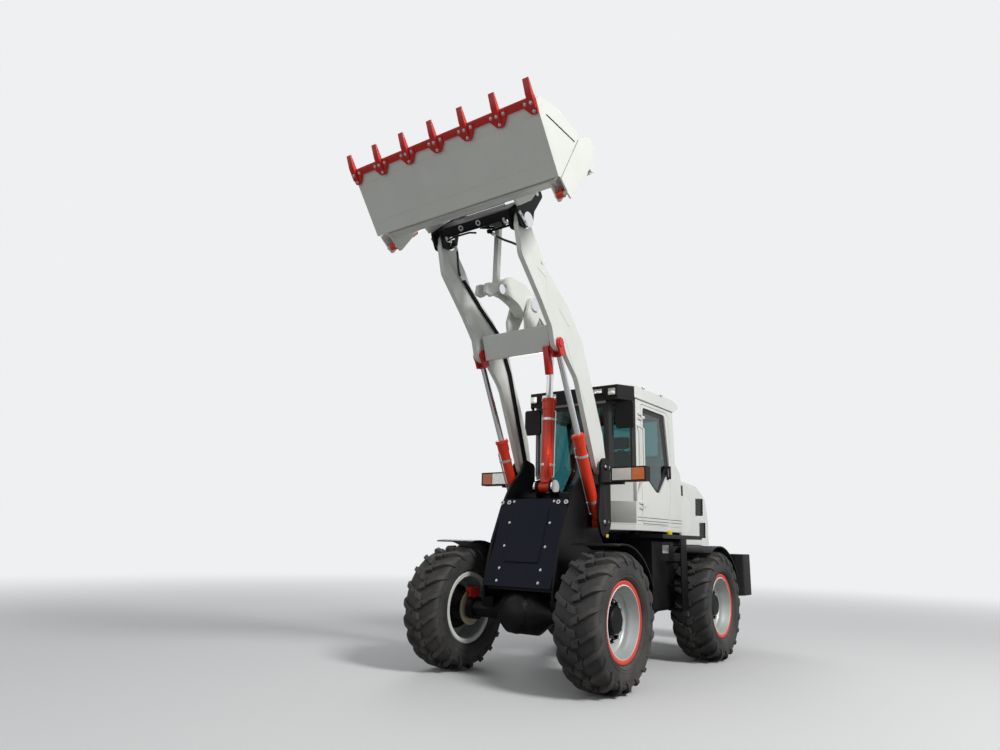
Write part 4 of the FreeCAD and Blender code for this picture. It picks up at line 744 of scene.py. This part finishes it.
def feed_line(bm, foot, eye, x, reach, r, turn):
    # a steel line beside the barrel with a clip at each end, turn says on which side it lies
    axis = (eye - foot).normalized()
    out = (Matrix.Rotation(turn, 3, axis) @ Vector((1, 0, 0))).normalized()
    low, high = [foot + Vector((x, 0, 0)) + axis * a + out * (r + 0.014) for a in (0.10, reach - 0.14)]
    bar(bm, low, high, 0.008, 16)
    bar(bm, high, high - out * 0.016 + axis * 0.012, 0.008, 16)
    bar(bm, low, low - out * 0.020, 0.010, 16)
    for a in (0.22, reach - 0.22):
        centre = foot + Vector((x, 0, 0)) + axis * a
        band = [(-0.012, r), (-0.012, r + 0.005), (0.012, r + 0.005), (0.012, r), (-0.012, r)]
        spun(bm, band, centre, axis, 40)
        bar(bm, centre + out * r, centre + out * (r + 0.026), 0.012, 6, soft=0.002)


lift_axis = (LIFT_EYE - LIFT_FOOT).normalized()
lift_reach = (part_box("lift_barrels")[1].z - LIFT_FOOT.z - 0.055 * abs(lift_axis.y)) / lift_axis.z
rings, lines = bmesh.new(), bmesh.new()
for side in (1, -1):
    gland(rings, LIFT_FOOT, LIFT_EYE, side * ARM_X, lift_reach, 0.050)
    feed_line(lines, LIFT_FOOT, LIFT_EYE, side * ARM_X, lift_reach, 0.050, math.radians(205))
give("lift_glands", rings, "lift_barrels", ORANGE, slot="orange_paint")
give("lift_feed_lines", lines, "lift_barrels", STEEL, slot="rod_chrome")
rings, lines = bmesh.new(), bmesh.new()
gland(rings, TILT_FOOT, TILT_EYE, 0, 0.910, 0.060)
elbow_at = [TILT_FOOT + (TILT_EYE - TILT_FOOT).normalized() * a for a in (0.10, 0.17, 0.32, 0.40)]
outs = [Vector((0.030, -0.050, 0)) * k for k in (1.0, 1.25, 1.25, 0.55)]
knots = [p + o for p, o in zip(elbow_at, outs)]
for p, q in zip(knots, knots[1:]):
    bar(rings, p, q, 0.030, 24)
for p in knots[1:3]:
    bmesh.ops.create_uvsphere(rings, u_segments=24, v_segments=16, radius=0.030,
                              matrix=Matrix.Translation(p))
give("tilt_gland_and_elbow", rings, "tilt_barrel", ORANGE, slot="orange_paint")
feed_line(lines, TILT_FOOT, TILT_EYE, 0, 0.910, 0.060, math.radians(20))
give("tilt_feed_line", lines, "tilt_barrel", STEEL, slot="rod_chrome")
print("glands at", round(lift_reach, 3), "and", 0.910, "m")

# %% [markdown]
# The bucket's floor is tilted 55 degrees, so its fittings are placed in its own directions: u
# runs along the floor towards the teeth and v away from it, both from the boom's tip. Each
# tooth is a blunt wedge on a lobed plate, bolted with three pale bolts under the red edge.
# A lobed plate is an outline pulled to its thickness with its corners rounded by bevel.

# %% Bucket teeth and edge
TIP = Vector((0, -2.002, 4.070))
FLOOR_TILT = math.radians(55)
ALONG = Vector((0, -math.cos(FLOOR_TILT), math.sin(FLOOR_TILT)))
AWAY = Vector((0, math.sin(FLOOR_TILT), math.cos(FLOOR_TILT)))
LEVEL = Matrix.Translation(TIP) @ Matrix((Vector((1, 0, 0)), AWAY, ALONG)).transposed().to_4x4()
TEETH, TOOTH_PITCH, BUCKET_HALF = 7, 0.345, 1.070
EDGE_U, TIP_U, FLOOR_V = 0.953, 1.093, -0.2403


def at_level(x, u, v):
    return TIP + Vector((x, 0, 0)) + ALONG * u + AWAY * v


bm = bmesh.new()
block(bm, (-BUCKET_HALF, FLOOR_V - 0.018, EDGE_U - 0.072), (BUCKET_HALF, FLOOR_V, EDGE_U - 0.004),
      0.003, LEVEL)
bolts = bmesh.new()
for i in range(TEETH):
    c = (i - (TEETH - 1) / 2) * TOOTH_PITCH
    # the outer two plates end with the bucket, so their outline is held inside its edge
    low, high = max(-0.090, -BUCKET_HALF - c), min(0.090, BUCKET_HALF - c)
    lobes = [(low, 0.944), (low, 0.884), (-0.030, 0.806), (0.030, 0.806), (high, 0.884), (high, 0.944)]
    slab(bm, [at_level(c + x, u, FLOOR_V) for x, u in lobes], AWAY * -0.026, 0.003, turn=0.018)
    wedge = [(0.850, -0.282), (EDGE_U + 0.020, -0.282), (TIP_U, -0.254), (TIP_U, -0.242),
             (0.943, -0.238), (0.910, -0.258), (0.850, -0.258)]
    slab(bm, [at_level(c - 0.030, u, v) for u, v in wedge], (0.060, 0, 0), 0.004)
    for x, u, v in ((-0.064, 0.905, -0.026), (0.064, 0.905, -0.026), (0.0, 0.900, -0.042),
                    (0.0, 0.832, -0.026)):
        if low < x < high:
            bolt(bolts, at_level(c + x, u, FLOOR_V + v), -AWAY, 0.011)
give("tooth_bar", bm, "clam", RED, slot="red_paint", replaces=["teeth"])
give("tooth_bolts", bolts, "clam", STEEL, slot="rod_chrome")
print(TEETH, "teeth")

# %% [markdown]
# A welded bucket shows where its sheets meet. Thin raised beads along the floor mark the joint
# of the cutting edge and the two bends, and small beads outline the doubling plates on the arms.

# %% Weld beads
bm = bmesh.new()
for u in (0.800, 0.425, 0.295):
    bar(bm, at_level(-1.052, u, FLOOR_V), at_level(1.052, u, FLOOR_V), 0.0030, 8)
give("bucket_beads", bm, "clam", WHITE, slot="white_paint")
# each end plate has a narrow slot in it, drawn as a dark bar of painted shade
bm = bmesh.new()
for side in (1, -1):
    bar(bm, (side * 1.0622, -2.560, 4.632), (side * 1.0622, -2.110, 4.616), 0.0060, 8)
give("bucket_slot_shade", bm, "clam", SEAL_AND_SHADE_BLACK, slot="black_paint")
bm = bmesh.new()
ARM_FACE = 0.481
for side in (1, -1):
    for seam in (((-1.405, 3.395), (-1.215, 3.262), (-1.415, 3.120)),
                 ((-1.300, 3.130), (-1.080, 2.800), (-0.905, 2.560)),
                 ((-1.780, 3.690), (-1.640, 3.640), (-1.620, 3.520))):
        for (y0, z0), (y1, z1) in zip(seam, seam[1:]):
            bar(bm, (side * ARM_FACE, y0, z0), (side * ARM_FACE, y1, z1), 0.0030, 8)
    bar(bm, (side * (ARM_FACE - 0.002), -1.712, 3.768), (side * (ARM_FACE + 0.009), -1.712, 3.768),
        0.022, 24, soft=0.003)
give("boom_beads", bm, "boom", WHITE, slot="white_paint")
print("beads on bucket and boom")

# %% [markdown]
# The quick coupler is a black frame with steel bits on it: ringed holes in its cross plate, the
# two rods that push the locking pins, keeper strips on the ears, and elbows for the hoses.

# %% Coupler fittings
bm = bmesh.new()
for x in (-0.147, 0.060):
    spun(bm, [(-0.002, 0.014), (0.006, 0.014), (0.006, 0.027), (-0.002, 0.027), (-0.002, 0.014)],
         at_level(x, 0.112, -0.1115), -AWAY, 32)
for u in (0.190, 0.214):
    bar(bm, at_level(-0.080, u, -0.088), at_level(0.385, u, -0.088), 0.0105, 20, soft=0.001)
for x, u in ((-0.345, 0.030), (0.345, 0.045)):
    bar(bm, at_level(x, u, -0.118), at_level(x, u + 0.045, -0.118), 0.013, 6, soft=0.002)
    bar(bm, at_level(x, u, -0.118), at_level(x + 0.040, u - 0.018, -0.118), 0.011, 16)
for side in (1, -1):
    strip = [(-2.146, 4.106), (-2.016, 4.013), (-2.034, 3.988), (-2.164, 4.081)]
    slab(bm, [(side * 0.514, y, z) for y, z in strip], (side * 0.012, 0, 0), 0.002)
    for y, z in ((-2.115, 4.066), (-2.058, 4.026)):
        bolt(bm, (side * 0.526, y, z), (side, 0, 0), 0.009)
    bar(bm, (side * 0.514, -1.877, 4.381), (side * 0.528, -1.877, 4.381), 0.024, 24, soft=0.002)
give("coupler_fittings", bm, "tool", STEEL, slot="rod_chrome")
bm = bmesh.new()
route = [at_level(-0.335, 0.036, -0.123), at_level(-0.240, 0.052, -0.130),
         at_level(-0.060, 0.050, -0.130), at_level(0.010, 0.030, -0.123)]
for p, q in zip(route, route[1:]):
    bar(bm, p, q, 0.009, 16)
for p in route[1:3]:
    bmesh.ops.create_uvsphere(bm, u_segments=16, v_segments=12, radius=0.009,
                              matrix=Matrix.Translation(p))
give("coupler_line", bm, "tool", BLACK, slot="black_paint")
print("coupler dressed")

# %% [markdown]
# Bolts and pin keepers say how the machine comes apart. A bolt is a washer under a hexagon, and
# a loop over a table of places and directions sets them all: on the crank, on the tower's pins
# and down both sides of the dark cover plate.

# %% Bolts and pin keepers
COVER_TOP = Vector((0, -1.050, 1.630))
COVER_DOWN = Vector((0, -0.340, -0.940))
COVER_OUT = Vector((0, -0.940, 0.340))
bm = bmesh.new()
for side in (1, -1):
    for y, z in ((-1.783, 3.597), (-1.712, 3.615)):
        bolt(bm, (side * 0.066, y, z), (side, 0, 0), 0.016)
    bar(bm, (side * 0.066, -1.203, 3.592), (side * 0.074, -1.203, 3.592), 0.034, 32, soft=0.002)
give("crank_bolts", bm, "crank", WHITE, slot="white_paint")
bm = bmesh.new()
for side in (1, -1):
    for y, z in ((-0.589, 1.964), (-0.620, 1.428)):
        keeper = [(side * 0.540, y - 0.052, z + 0.020), (side * 0.540, y - 0.052, z - 0.020),
                  (side * 0.540, y + 0.052, z - 0.020), (side * 0.540, y + 0.052, z + 0.020)]
        slab(bm, keeper, (side * 0.010, 0, 0), 0.002, turn=0.019)
        for step in (-0.034, 0.034):
            bolt(bm, (side * 0.550, y + step, z), (side, 0, 0), 0.008)
    for x in (0.143, 0.185):
        spun(bm, [(-0.002, 0.011), (0.010, 0.011), (0.010, 0.021), (-0.002, 0.021), (-0.002, 0.011)],
             COVER_TOP + COVER_DOWN * 0.040 + COVER_OUT * 0.014 + Vector((side * x * 2, 0, 0)),
             COVER_OUT, 28)
    for s in (0.030, 0.248, 0.482, 0.700, 0.820):
        bolt(bm, COVER_TOP + COVER_DOWN * s + COVER_OUT * 0.014 + Vector((side * 0.232, 0, 0)),
             COVER_OUT, 0.009)
give("tower_keepers", bm, "front", STEEL, slot="rod_chrome")
bm = bmesh.new()
for side in (1, -1):
    patch = [(side * 0.540, -0.615, 1.312), (side * 0.540, -0.615, 1.282), (side * 0.540, -0.570, 1.282),
             (side * 0.540, -0.570, 1.312)]
    slab(bm, patch, (side * 0.004, 0, 0), 0.001)
give("tower_reflectors", bm, "front", YELLOW, slot="orange_paint")
# the safety strut hangs under the beam beside the left arm, ready to be laid over a lift rod
bm = bmesh.new()
strut_top, strut_low = Vector((0.352, -1.420, 3.040)), Vector((0.352, -1.365, 2.775))
aimed, strut_length = aim(strut_top, strut_low)
block(bm, (-0.030, -0.030, 0), (0.030, 0.030, strut_length), 0.004, aimed)
give("safety_strut", bm, "boom", RED, slot="red_paint")
print("bolts and keepers set")

# %% [markdown]
# The head lamps are a ribbed pale lens with an amber turn signal beside it in one black case.
# The ribs are half-round rods laid side by side, which bend the light as moulded ribs do. The
# visor's work lamps are flat panes in the same way, and the counterweight has round tail lamps.

# %% Lamps
def ribbed(bm, x0, x1, y, z0, z1, pitch=0.009):
    count = round(abs(x1 - x0) / pitch)
    for i in range(count):
        x = x0 + (x1 - x0) * (i + 0.5) / count
        bar(bm, (x, y, z0), (x, y, z1), abs(x1 - x0) / count * 0.52, 8)


LENS_Y, LENS_LOW, LENS_HIGH = -0.6455, 1.828, 1.942
bm, amber = bmesh.new(), bmesh.new()
for side in (1, -1):
    ribbed(bm, side * 0.628, side * 0.836, LENS_Y, LENS_LOW, LENS_HIGH)
    ribbed(amber, side * 0.842, side * 0.970, LENS_Y, LENS_LOW, LENS_HIGH)
give("headlamp_lenses", bm, "front", REFLECTOR, slot="glass")
give("turn_signal_lenses", amber, "front", AMBER, slot="glass")
bm = bmesh.new()
for side in (1, -1):
    for x0, x1, z0, z1 in ((0.449, 0.531, 2.746, 2.818), (0.194, 0.376, 2.774, 2.822)):
        face = [(side * x0, -0.365, z0), (side * x1, -0.365, z0), (side * x1, -0.365, z1),
                (side * x0, -0.365, z1)]
        slab(bm, face, (0, -0.004, 0), 0.001, turn=0.010)
give("visor_lamp_lenses", bm, "root", REFLECTOR, slot="glass")
bm = bmesh.new()
for side in (1, -1):
    for x, tint in ((0.740, 0), (0.640, 1)):
        lens = [(-0.002, 0.044), (0.006, 0.044), (0.009, 0.036), (0.010, 0.0), (-0.002, 0.0)]
        spun(bm, [(-0.002, 0.050), (0.008, 0.050), (0.008, 0.044), (-0.002, 0.044), (-0.002, 0.050)],
             (side * x, 2.836, 0.990), (0, 1, 0), 32, lambda a, r: 2)
        spun(bm, lens, (side * x, 2.836, 0.990), (0, 1, 0), 32, lambda a, r, t=tint: t)
give("tail_lamps", bm, "root", RED_LENS, AMBER, PLASTIC, slot="glass")
print("lamps lit by daylight only")

# %% [markdown]
# Cab glass is bonded, so each pane has a black printed border that hides the glue. Each border
# is a flat ring between two outlines, bridged and given 2 mm of thickness, on the outside of
# the pane. The narrow posts at the front corners are black as well, which makes one dark band.

# %% Window borders
def rim_of(points, move):
    return [(y + dy, z + dz) for (y, z), (dy, dz) in zip(points, move)]


door_edge = [(0.075, 1.952), (0.075, 2.670), (0.655, 2.670), (0.765, 2.062), (0.480, 1.778), (0.385, 1.778)]
door_clear = rim_of(door_edge, ((0.034, 0.030), (0.034, -0.052), (-0.105, -0.052), (-0.092, 0.018),
                                (-0.020, 0.038), (0.018, 0.038)))
for name, body, side in (("door_pane_border", "door", 1), ("right_pane_border", "root", -1)):
    bm = bmesh.new()
    x = side * 0.6122
    border(bm, [(x, y, z) for y, z in door_edge], [(x, y, z) for y, z in door_clear], (side * 0.0015, 0, 0))
    give(name, bm, body, SEAL_AND_SHADE_BLACK, slot="black_paint")
bm = bmesh.new()
screen = [(-0.370, 1.700), (0.370, 1.700), (0.370, 2.690), (-0.370, 2.690)]
clear = [(-0.335, 1.755), (0.335, 1.755), (0.335, 2.640), (-0.335, 2.640)]
border(bm, [(x, -0.2542, z) for x, z in screen], [(x, -0.2542, z) for x, z in clear], (0, -0.0015, 0))
rear = [(-0.480, 2.202), (0.480, 2.202), (0.480, 2.690), (-0.480, 2.690)]
clear = [(-0.440, 2.240), (0.440, 2.240), (0.440, 2.650), (-0.440, 2.650)]
rear_y = 0.890 - 0.021 + 0.0032
border(bm, [(x, rear_y, z) for x, z in rear], [(x, rear_y, z) for x, z in clear], (0, 0.0015, 0))
# the slanted corner panes, measured along the corner's face from the front post
CORNER_A, CORNER_B = Vector((0.400, -0.270, 0)), Vector((0.630, -0.100, 0))
corner_run = (CORNER_B - CORNER_A).normalized()
corner_out = Vector((corner_run.y, -corner_run.x, 0))


def on_corner(side, t, out, z):
    p = CORNER_A + corner_run * t + corner_out * out
    return (side * p.x, p.y, z)


for side in (1, -1):
    edge = [(0.032, 1.950), (0.248, 1.950), (0.248, 2.690), (0.032, 2.690)]
    clear = [(0.056, 1.985), (0.224, 1.985), (0.224, 2.645), (0.056, 2.645)]
    pull = Vector((side * corner_out.x, corner_out.y, 0)) * 0.0015
    border(bm, [on_corner(side, t, -0.0178, z) for t, z in edge],
           [on_corner(side, t, -0.0178, z) for t, z in clear], pull)
    for t0, t1, z0, z1 in ((0.0, 0.0325, 1.950, 2.745), (0.2475, 0.2855, 1.950, 2.745),
                           (0.0325, 0.2475, 1.915, 1.9505), (0.0325, 0.2475, 2.690, 2.745)):
        slab(bm, [on_corner(side, t, 0.0002, z) for t, z in ((t0, z0), (t1, z0), (t1, z1), (t0, z1))],
             pull * 1.2)
    post = [(side * x, -0.2702, z) for x, z in ((0.3695, 1.700), (0.4005, 1.700), (0.4005, 2.745),
                                                (0.3695, 2.745))]
    slab(bm, post, (0, -0.0018, 0))
give("cab_pane_borders", bm, "root", SEAL_AND_SHADE_BLACK, slot="black_paint")
print("borders on the panes")

# %% [markdown]
# Around the cab run small things that the eye expects: a steel gutter under the roof's edge, a
# pair of pressed grooves low on its side, the door's grip, a grey panel below the windscreen and
# the mirrors' glass. The grooves are only a few millimetres deep, so they are not cut but drawn as
# thin dark strips of painted shade.

# %% Cab trim
bm = bmesh.new()
for side in (1, -1):
    bar(bm, (side * 0.638, -0.145, 2.748), (side * 0.638, 0.870, 2.748), 0.006, 12)
    bar(bm, (side * 0.635, 0.094, 2.880), (side * 0.635, 0.094, 2.897), 0.020, 24, soft=0.004)
    bar(bm, (side * 0.640, 0.560, 2.880), (side * 0.640, 0.560, 2.897), 0.020, 24, soft=0.004)
give("roof_trim", bm, "root", STEEL, slot="rod_chrome")
# each pressed groove is a thin dark strip of painted shade on the white side, not cut into it
grooves = {"door": [(0.040, 0.700)], "root": [(-0.090, 0.018), (0.735, 1.080)]}
for body, runs in grooves.items():
    bm = bmesh.new()
    for side in (1, -1):
        if body == "door" and side < 0:
            continue
        for y0, y1 in runs + ([(0.018, 0.722)] if side < 0 else []):
            for z in (1.465, 1.498):
                block(bm, (side * 0.6297, y0, z - 0.003), (side * 0.6307, y1, z + 0.003))
    give("side_groove_shade_" + body, bm, body, SEAL_AND_SHADE_BLACK, slot="black_paint")
bm = bmesh.new()
block(bm, (-0.392, -0.2735, 1.440), (0.392, -0.2695, 1.655), 0.0015)
for side in (1, -1):
    slab(bm, [on_corner(side, t, 0.0002, z) for t, z in ((0.010, 1.440), (0.276, 1.440),
                                                         (0.276, 1.655), (0.010, 1.655))],
         Vector((side * corner_out.x, corner_out.y, 0)) * 0.003, 0.001)
    slab(bm, [on_corner(side, t, 0.0002, z) for t, z in ((0.252, 1.660), (0.284, 1.660),
                                                         (0.284, 1.905), (0.252, 1.905))],
         Vector((side * corner_out.x, corner_out.y, 0)) * 0.003, 0.001)
give("front_panel", bm, "root", GREY, slot="white_paint")
bm = bmesh.new()
for y, z in ((0.700, 1.960), (0.700, 2.080)):
    bar(bm, (0.628, y, z), (0.662, y, z), 0.010, 16, soft=0.002)
bar(bm, (0.660, 0.700, 1.948), (0.660, 0.700, 2.092), 0.012, 20, soft=0.004)
block(bm, (0.629, 0.672, 1.940), (0.634, 0.728, 2.100), 0.002)
give("door_grip", bm, "door", PLASTIC, slot="black_paint")
bm = bmesh.new()
for side in (1, -1):
    glass = [(side * 0.492, z) for z in (2.422, 2.674)] + [(side * 0.662, z) for z in (2.674, 2.422)]
    slab(bm, [(x, -0.2285, z) for x, z in glass], (0, 0.003, 0), 0.001, turn=0.016)
give("mirror_glasses", bm, "root", CHROME, slot="glass")
bm = bmesh.new()
for side in (1, -1):
    block(bm, (side * 0.592, 1.135, 1.795), (side * 0.601, 1.205, 1.915), 0.003)
    for i in range(5):
        z = 1.812 + i * 0.022
        block(bm, (side * 0.599, 1.142, z), (side * 0.6045, 1.198, z + 0.009), 0.002)
give("hood_side_vents", bm, "hood", PLASTIC, slot="black_paint")
bm = bmesh.new()
slab(bm, [(0.7205, y, z) for y, z in ((0.290, 1.225), (0.450, 1.225), (0.450, 1.140), (0.290, 1.140))],
     (0.003, 0, 0), 0.001)
give("tank_plate", bm, "root", WHITE, slot="white_paint")
bm = bmesh.new()
bar(bm, (0.630, 0.690, 1.328), (0.630, 0.690, 1.385), 0.034, 32, soft=0.006)
give("fuel_cap", bm, "root", YELLOW, slot="orange_paint")
print("cab trimmed")

# %% [markdown]
# The driver's seat is upholstered, so it is soft: its faces crown, its corners pull in, and sewn
# channels run down it. A cloth simulation would do this too, but behind tinted glass a few
# formulas on a subdivided block give the same form at once.

# %% Seat
def pad(name, low, high, seams, across):
    low, high = Vector(low), Vector(high)
    centre, half = (low + high) / 2, (high - low) / 2
    bm = bmesh.new()
    bmesh.ops.create_cube(bm, size=2)
    bmesh.ops.subdivide_edges(bm, edges=bm.edges[:], cuts=23, use_grid_fill=True)
    for v in bm.verts:
        p = v.co.copy()
        pull = [1 - 0.055 * (p[(k + 1) % 3] ** 4 + p[(k + 2) % 3] ** 4) for k in range(3)]
        x = p.x * half.x
        groove = sum(math.exp(-((x - s) / 0.007) ** 2) for s in seams) * 0.06
        pull[across] -= groove
        v.co = centre + Vector([p[k] * half[k] * pull[k] for k in range(3)])
    piece = give(name, bm, "root", SEAT_CLOTH, slot="seat_fabric", smooth=80)
    subdivision = piece.modifiers.new("smooth", "SUBSURF")
    subdivision.levels = subdivision.render_levels = 1
    return piece


SEAMS = (-0.130, 0.0, 0.130)
cushion = pad("seat_cushion", (-0.245, 0.358, 1.753), (0.245, 0.786, 1.872), SEAMS, 2)
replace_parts(cushion, "seat")
pad("seat_back", (-0.235, 0.717, 1.875), (0.235, 0.786, 2.300), SEAMS, 1)
pad("head_rest", (-0.130, 0.722, 2.330), (0.130, 0.784, 2.470), (), 1)
bm = bmesh.new()
for x in (-0.055, 0.055):
    bar(bm, (x, 0.754, 2.280), (x, 0.754, 2.345), 0.007, 16)
give("head_rest_posts", bm, "root", STEEL, slot="rod_chrome")
print("seat upholstered")

# %% [markdown]
# The floor and the light are plain, so that the paint tells its own colour: one pale floor, a
# pale world that the camera and the glossy surfaces see as near white, and large soft lamps.

# %% Floor, world and lamps
BACKDROP = (0.86, 0.87, 0.88, 1)


def backdrop_world():
    world = bpy.data.worlds.new("studio")
    world.use_nodes = True
    tree = world.node_tree
    sky = tree.nodes["Background"]
    sky.inputs["Color"].default_value = (0.84, 0.87, 0.92, 1)
    sky.inputs["Strength"].default_value = 0.34
    seen = add_node(tree, "Background", Color=BACKDROP, Strength=1.0)
    path = add_node(tree, "LightPath")
    either = add_node(tree, "Math", operation="MAXIMUM")
    tree.links.new(path.outputs["Is Camera Ray"], either.inputs[0])
    tree.links.new(path.outputs["Is Transmission Ray"], either.inputs[1])
    seen_by = add_node(tree, "Math", operation="MAXIMUM")
    tree.links.new(either.outputs[0], seen_by.inputs[0])
    tree.links.new(path.outputs["Is Glossy Ray"], seen_by.inputs[1])
    mix = add_node(tree, "MixShader")
    tree.links.new(seen_by.outputs[0], mix.inputs["Fac"])
    tree.links.new(sky.outputs[0], mix.inputs[1])
    tree.links.new(seen.outputs[0], mix.inputs[2])
    tree.links.new(mix.outputs[0], tree.nodes["World Output"].inputs["Surface"])
    return world


def floor_material():
    material = bpy.data.materials.new("studio_floor")
    material.use_nodes = True
    tree = material.node_tree
    shader = tree.nodes["Principled BSDF"]
    shader.inputs["Roughness"].default_value = 0.85
    grain = add_node(tree, "TexNoise", Scale=3.0, Detail=8.0)
    ramp = add_node(tree, "ValToRGB")
    ramp.color_ramp.elements[0].color = (0.72, 0.72, 0.71, 1)
    ramp.color_ramp.elements[1].color = (0.80, 0.80, 0.79, 1)
    tree.links.new(grain.outputs["Fac"], ramp.inputs["Fac"])
    # the floor is pale to the camera, and throws less light up at the machine
    path = add_node(tree, "LightPath")
    shade = add_node(tree, "MixRGB", Color1=(0.36, 0.36, 0.35, 1))
    tree.links.new(path.outputs["Is Camera Ray"], shade.inputs["Fac"])
    tree.links.new(ramp.outputs["Color"], shade.inputs["Color2"])
    tree.links.new(shade.outputs[0], shader.inputs["Base Color"])
    # far away the floor turns into the backdrop, so there is no hard horizon
    place = add_node(tree, "TexCoord")
    distance = add_node(tree, "VectorMath", operation="LENGTH")
    tree.links.new(place.outputs["Object"], distance.inputs[0])
    fade = add_node(tree, "MapRange", interpolation_type="SMOOTHSTEP")
    for index, value in ((1, 5.0), (2, 19.0), (3, 0.0), (4, 1.0)):
        fade.inputs[index].default_value = value
    tree.links.new(distance.outputs["Value"], fade.inputs[0])
    both = add_node(tree, "Math", operation="MULTIPLY")
    tree.links.new(fade.outputs[0], both.inputs[0])
    tree.links.new(path.outputs["Is Camera Ray"], both.inputs[1])
    glow = add_node(tree, "Emission", Color=BACKDROP, Strength=1.0)
    mix = add_node(tree, "MixShader")
    tree.links.new(both.outputs[0], mix.inputs["Fac"])
    tree.links.new(shader.outputs[0], mix.inputs[1])
    tree.links.new(glow.outputs[0], mix.inputs[2])
    tree.links.new(mix.outputs[0], tree.nodes["Material Output"].inputs["Surface"])
    return material


bm = bmesh.new()
bmesh.ops.create_circle(bm, cap_ends=True, segments=96, radius=60)
floor_mesh = bpy.data.meshes.new("floor")
bm.to_mesh(floor_mesh)
bm.free()
floor_mesh.materials.append(floor_material())
floor = bpy.data.objects.new("floor", floor_mesh)
bpy.context.scene.collection.objects.link(floor)
floor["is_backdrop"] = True
bpy.context.scene.world = backdrop_world()


def lamp(name, at, toward, power, size):
    light = bpy.data.lights.new(name, "AREA")
    light.energy = power
    light.shape = "DISK"
    light.size = size
    obj = bpy.data.objects.new(name, light)
    bpy.context.scene.collection.objects.link(obj)
    obj.location = at
    obj.rotation_euler = (Vector(toward) - Vector(at)).to_track_quat("-Z", "Y").to_euler()


lamp("key", (12, -3, 11), (0, -0.5, 2.0), 1750, 4.0)
lamp("front_fill", (-3, -13, 5), (0, -1, 2.5), 90, 7.0)
lamp("back_fill", (-8, 9, 8), (0, 0, 2), 320, 7.0)
bpy.context.scene.view_settings.view_transform = "Standard"
print("studio ready")

# %% Sizes and finish
low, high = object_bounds()
